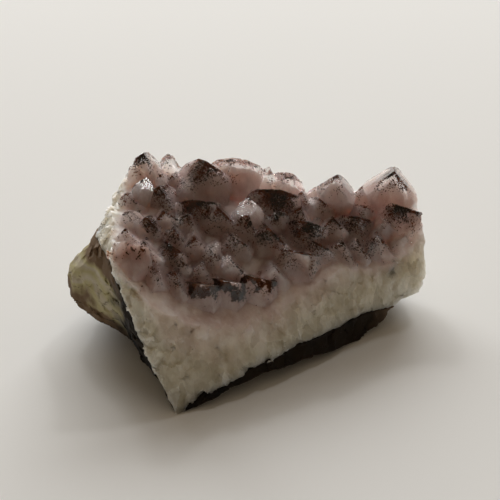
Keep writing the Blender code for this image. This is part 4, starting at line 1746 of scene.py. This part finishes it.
@dataclass
class QuartzCrust:
    """The quartz: its clear outside, the hazy body in it, and what is sealed between them."""

    stone: Stone
    node: str = "quartz_druse"
    wander: RockGrain = RockGrain(19, 3.0, octaves=2)
    # Specks: how many there are, how they cluster under a face, and how big they are.
    speck_count: int = 20_000
    cluster_size: int = 30
    cluster_spread: float = 0.6
    speck_seed: int = 41
    speck_depth: tuple[float, float] = (0.15, 0.6)
    speck_contrast: float = 2.4
    spare_share: int = 3
    flattened: float = 0.8
    half_length: float = 0.17
    half_lengths: tuple[float, float] = (0.06, 0.45)
    half_width: float = 0.085
    half_widths: tuple[float, float] = (0.03, 0.16)
    thickness: tuple[float, float] = (0.4, 1.0)
    # A speck stays under the skin, out of the haze and away from a break.
    under_skin: float = 0.14
    into_haze: float = 0.05
    from_break: float = 0.3
    # How far below the milk line, and below the floor of the druse, the lilac goes.
    lilac_sink: float = 1.5
    lilac_blend: float = 6.0
    top_sink: float = 2.1
    top_blend: float = 1.5
    top_x: float = -24.5
    top_x_blend: float = 2.0
    # Where the crust is thin, at its right end and its left flank, and glows more.
    thin_right_x: float = 24.0
    thin_right_blend: float = 8.0
    thin_left_x: float = -20.0
    thin_left_blend: float = 3.0
    # Haze this deep in clear quartz, and this far from a break, has no gloss of its own.
    buried_under: float = 0.25
    whole_under: float = 0.35

    def clear_points(self) -> None:
        """The clear quartz of the points."""
        piece = Piece("amethyst_points", self.node, Slot.AMETHYST, ClearAmethyst())
        corners, faces = largest_part(*self.stone.lattice.skin(self.stone.clear_body()))
        piece.draw(corners, faces)
        piece.place()
        self.outside = corners

    def hazy_root(self) -> None:
        """The milky root with the phantoms on it."""
        piece = Piece("milky_quartz", self.node, Slot.AMETHYST, HazyQuartz())
        piece.draw(*largest_part(*self.stone.lattice.skin(self.stone.hazy_body())))
        corners = piece.corners()
        x, y, z = corners.T
        wander = self.wander.at(corners)
        lilac = ramp(z - self.stone.milk(x, y) + wander + self.lilac_sink, self.lilac_blend)
        on_top = ramp(z - self.stone.floor(x, y) + self.top_sink, self.top_blend)
        on_top = on_top * ramp(x - self.top_x, self.top_x_blend)
        piece.keep("lilac", np.maximum(lilac, on_top))
        piece.keep("dusting", self.stone.druse.dusting(corners))
        right_end = ramp(x - self.thin_right_x + wander, self.thin_right_blend)
        left_flank = ramp(self.thin_left_x - x + wander, self.thin_left_blend)
        piece.keep("thin", np.maximum(right_end, left_flank))
        nodes = self.stone.lattice.nodes_at(corners)
        buried = self.stone.druse.outer.distance[nodes] < -self.buried_under
        whole = self.stone.limits.distance[nodes] < -self.whole_under
        piece.keep("bare", 1.0 - (buried & whole))
        piece.place()

    def inclusions(self) -> None:
        """Specks of iron oxide, in clusters just under the clear faces."""
        chance = np.random.default_rng(self.speck_seed)
        weight = self.stone.druse.dusting(self.outside) ** self.speck_contrast
        clusters = self.spare_share * self.speck_count // self.cluster_size
        chosen = self.outside[chance.choice(len(self.outside), clusters, p=weight / weight.sum())]
        inward = -self.stone.druse.outer.facing[self.stone.lattice.nodes_at(chosen)]
        centres = chosen + inward * chance.uniform(*self.speck_depth, clusters)[:, None]
        spread = chance.normal(0.0, self.cluster_spread, (clusters, self.cluster_size, 3))
        along = (spread * inward[:, None]).sum(axis=2, keepdims=True)
        places = centres[:, None] + spread - along * inward[:, None] * self.flattened
        places = self._sealed(places.reshape(-1, 3))[: self.speck_count]
        count = len(places)
        lengths = chance.lognormal(math.log(self.half_length), 0.5, count).clip(*self.half_lengths)
        widths = chance.lognormal(math.log(self.half_width), 0.4, count).clip(*self.half_widths)
        sizes = np.stack([lengths, widths, widths * chance.uniform(*self.thickness, count)], axis=1)
        piece = Piece("iron_oxide_inclusions", self.node, Slot.AMETHYST, IronOxide())
        piece.draw(*self._grains(places, sizes, chance))
        piece.place()

    def _sealed(self, places: Array) -> Array:
        """The places that lie inside the clear quartz and outside the hazy quartz.

        Args:
            places: rows of x, y and z.

        Returns:
            Those that do.
        """
        nodes = self.stone.lattice.nodes_at(places)
        outer, inner = self.stone.druse.outer, self.stone.druse.inner
        node_places = np.stack([self.stone.lattice.axis(i)[nodes[i]] for i in range(3)], axis=1)
        offset = places - node_places
        depth = outer.distance[nodes] + (outer.facing[nodes] * offset).sum(axis=1)
        haze = inner.distance[nodes] + (inner.facing[nodes] * offset).sum(axis=1)
        whole = self.stone.limits.distance[nodes] < -self.from_break
        return places[(depth < -self.under_skin) & (haze > -self.into_haze) & whole]

    @staticmethod
    def _grains(places: Array, sizes: Array, chance: np.random.Generator) -> tuple[Array, Array]:
        """Eight-faced grains, stretched and turned at random.

        Args:
            places: middles of the grains.
            sizes: half length, half width and half thickness of each.
            chance: where the turns come from.

        Returns:
            Corners and triangles.
        """
        turns, _ = np.linalg.qr(chance.normal(size=(len(places), 3, 3)))
        own = np.concatenate([np.eye(3), -np.eye(3)])
        corners = (own * sizes[:, None]) @ turns.transpose(0, 2, 1) + places[:, None]
        sides = []
        for x, y, z in product((0, 3), (1, 4), (2, 5)):
            flips = (x == 3) + (y == 4) + (z == 5)
            sides.append((x, y, z) if flips % 2 == 0 else (x, z, y))
        faces = np.array(sides)[None] + 6 * np.arange(len(places))[:, None, None]
        mirrored = np.linalg.det(turns) < 0
        faces[mirrored] = faces[mirrored][..., ::-1]
        return corners.reshape(-1, 3), faces.reshape(-1, 3)


@dataclass
class AgateWall:
    """The rind of the geode."""

    stone: Stone
    node: str = "agate_rind"
    most_triangles: int = 120_000
    wander: RockGrain = RockGrain(29, 3.5)
    # The dark skin: the weathered skin right of the wing, thinner at the right tip, and painted shade on
    # faces that look down.
    shaded_facing: float = -0.35
    shaded_blend: float = 0.25
    shaded_wander: float = 0.15
    edge_wander: float = 1.6
    wing_x: float = -25.0
    wing_blend: float = 3.0
    tip_x: float = 24.0
    tip_blend: float = 5.0
    tip_bare: float = 0.7

    def rind(self) -> None:
        """The banded agate with its dark skin and the painted shade below."""
        finish = BandedAgate()
        piece = Piece("agate_rind_surface", self.node, Slot.AGATE, finish, self.most_triangles)
        piece.draw(*largest_part(*self.stone.lattice.skin(self.stone.rind_body())))
        corners = piece.corners()
        depth = self.stone.contact(corners[:, 0], corners[:, 1]) - corners[:, 2]
        piece.keep("depth", depth / finish.band_mm)
        piece.keep("crust", self.crust_and_shade(corners, piece.facings()))
        piece.place()

    def crust_and_shade(self, corners: Array, facings: Array) -> Array:
        """How far each place is covered by the dark skin, nearly black: painted shade where it faces down,
        and the weathered skin right of the wing.

        Args:
            corners: places.
            facings: the way the rind faces there.

        Returns:
            A share from 0 to 1.
        """
        wander = self.wander.at(corners)
        across = corners[:, 0] + self.edge_wander * wander
        # Faces that look down are darkened here as painted shade.
        down = ramp(self.shaded_facing - facings[:, 2] + self.shaded_wander * wander, self.shaded_blend)
        right = ramp(across - self.wing_x, self.wing_blend)
        tip = ramp(across - self.tip_x, self.tip_blend) * self.tip_bare
        return np.clip(np.maximum(down, right) - tip, 0.0, 1.0)


@dataclass(frozen=True)
class SoftLight:
    """An even light, half as high as it is wide: its place and width in metres, and its watts."""

    name: str
    place: Place
    width: float
    power: float
    colour: str = "#ffffff"

    def hang(self) -> None:
        """Hangs the light, facing the specimen."""
        data = bpy.data.lights.new(self.name, "AREA")
        data.shape = "RECTANGLE"
        data.size = self.width
        data.size_y = self.width / 2
        data.energy = self.power
        data.color = linear(self.colour)[:3]
        lamp = bpy.data.objects.new(self.name, data)
        bpy.context.scene.collection.objects.link(lamp)
        lamp.location = self.place
        lamp.rotation_euler = (-Vector(self.place)).to_track_quat("-Z", "Y").to_euler()


@dataclass(frozen=True)
class Studio:
    """Floor, soft lights and camera."""

    target: Place = (1.0, 8.0, 15.0)
    elevation: float = 30.0
    distance: float = 250.0
    # The focal length in the photograph's own pixels, and how many of them it is wide.
    focal_px: float = 1289.0
    frame_px: float = 500.0
    sensor_mm: float = 36.0
    floor_size: float = 6.0
    surround: str = "#f8dfbf"
    surround_strength: float = 0.18
    lights: tuple[SoftLight, ...] = (
        SoftLight("back_window", (-0.15, 1.90, 1.20), 2.6, 60.0, "#fafbfb"),
        SoftLight("lamp_left", (-0.30, 0.90, 0.95), 0.16, 1.2),
        SoftLight("lamp_right", (0.35, 0.60, 1.00), 0.14, 1.0),
    )

    def floor(self) -> None:
        """A plain pale table."""
        half = self.floor_size / 2
        data = bpy.data.meshes.new("table")
        corners = [(-half, -half, 0), (half, -half, 0), (half, half, 0), (-half, half, 0)]
        data.from_pydata(corners, [], [(0, 1, 2, 3)])
        table = bpy.data.objects.new("table", data)
        bpy.context.scene.collection.objects.link(table)
        data.materials.append(TablePaper().material())

    def sky(self) -> None:
        """The warm dim room in front of the table."""
        world = bpy.data.worlds.new("room")
        world.use_nodes = True
        backdrop = world.node_tree.nodes["Background"]
        backdrop.inputs["Color"].default_value = linear(self.surround)
        backdrop.inputs["Strength"].default_value = self.surround_strength
        bpy.context.scene.world = world

    def camera(self) -> None:
        """The camera of the photograph."""
        rise = math.radians(self.elevation)
        ahead = Vector((0.0, math.cos(rise), -math.sin(rise)))
        aim = (Vector(self.target) - Vector((*DRAWN_MIDDLE, 0.0))) * DRAWN_TO_ROW
        data = bpy.data.cameras.new("camera")
        data.sensor_width = self.sensor_mm
        data.lens = self.focal_px / self.frame_px * self.sensor_mm
        data.clip_start = 0.01
        seen_from = bpy.data.objects.new("camera", data)
        bpy.context.scene.collection.objects.link(seen_from)
        seen_from.location = aim - ahead * self.distance * DRAWN_TO_ROW
        seen_from.rotation_euler = ahead.to_track_quat("-Z", "Y").to_euler()
        bpy.context.scene.camera = seen_from

    def build(self) -> None:
        """Sets up everything round the specimen."""
        self.floor()
        self.sky()
        for light in self.lights:
            light.hang()
        self.camera()
        bpy.context.scene.view_settings.view_transform = "Standard"


def main() -> None:
    """Builds the studio and every piece."""
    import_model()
    Studio().build()
    stone = Stone()
    log.info("%d points", len(stone.druse.points))
    crust = QuartzCrust(stone)
    crust.clear_points()
    crust.hazy_root()
    crust.inclusions()
    AgateWall(stone).rind()
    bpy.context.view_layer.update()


if __name__ == "__main__":
    logging.basicConfig(level=logging.INFO, format="%(message)s")
    main()
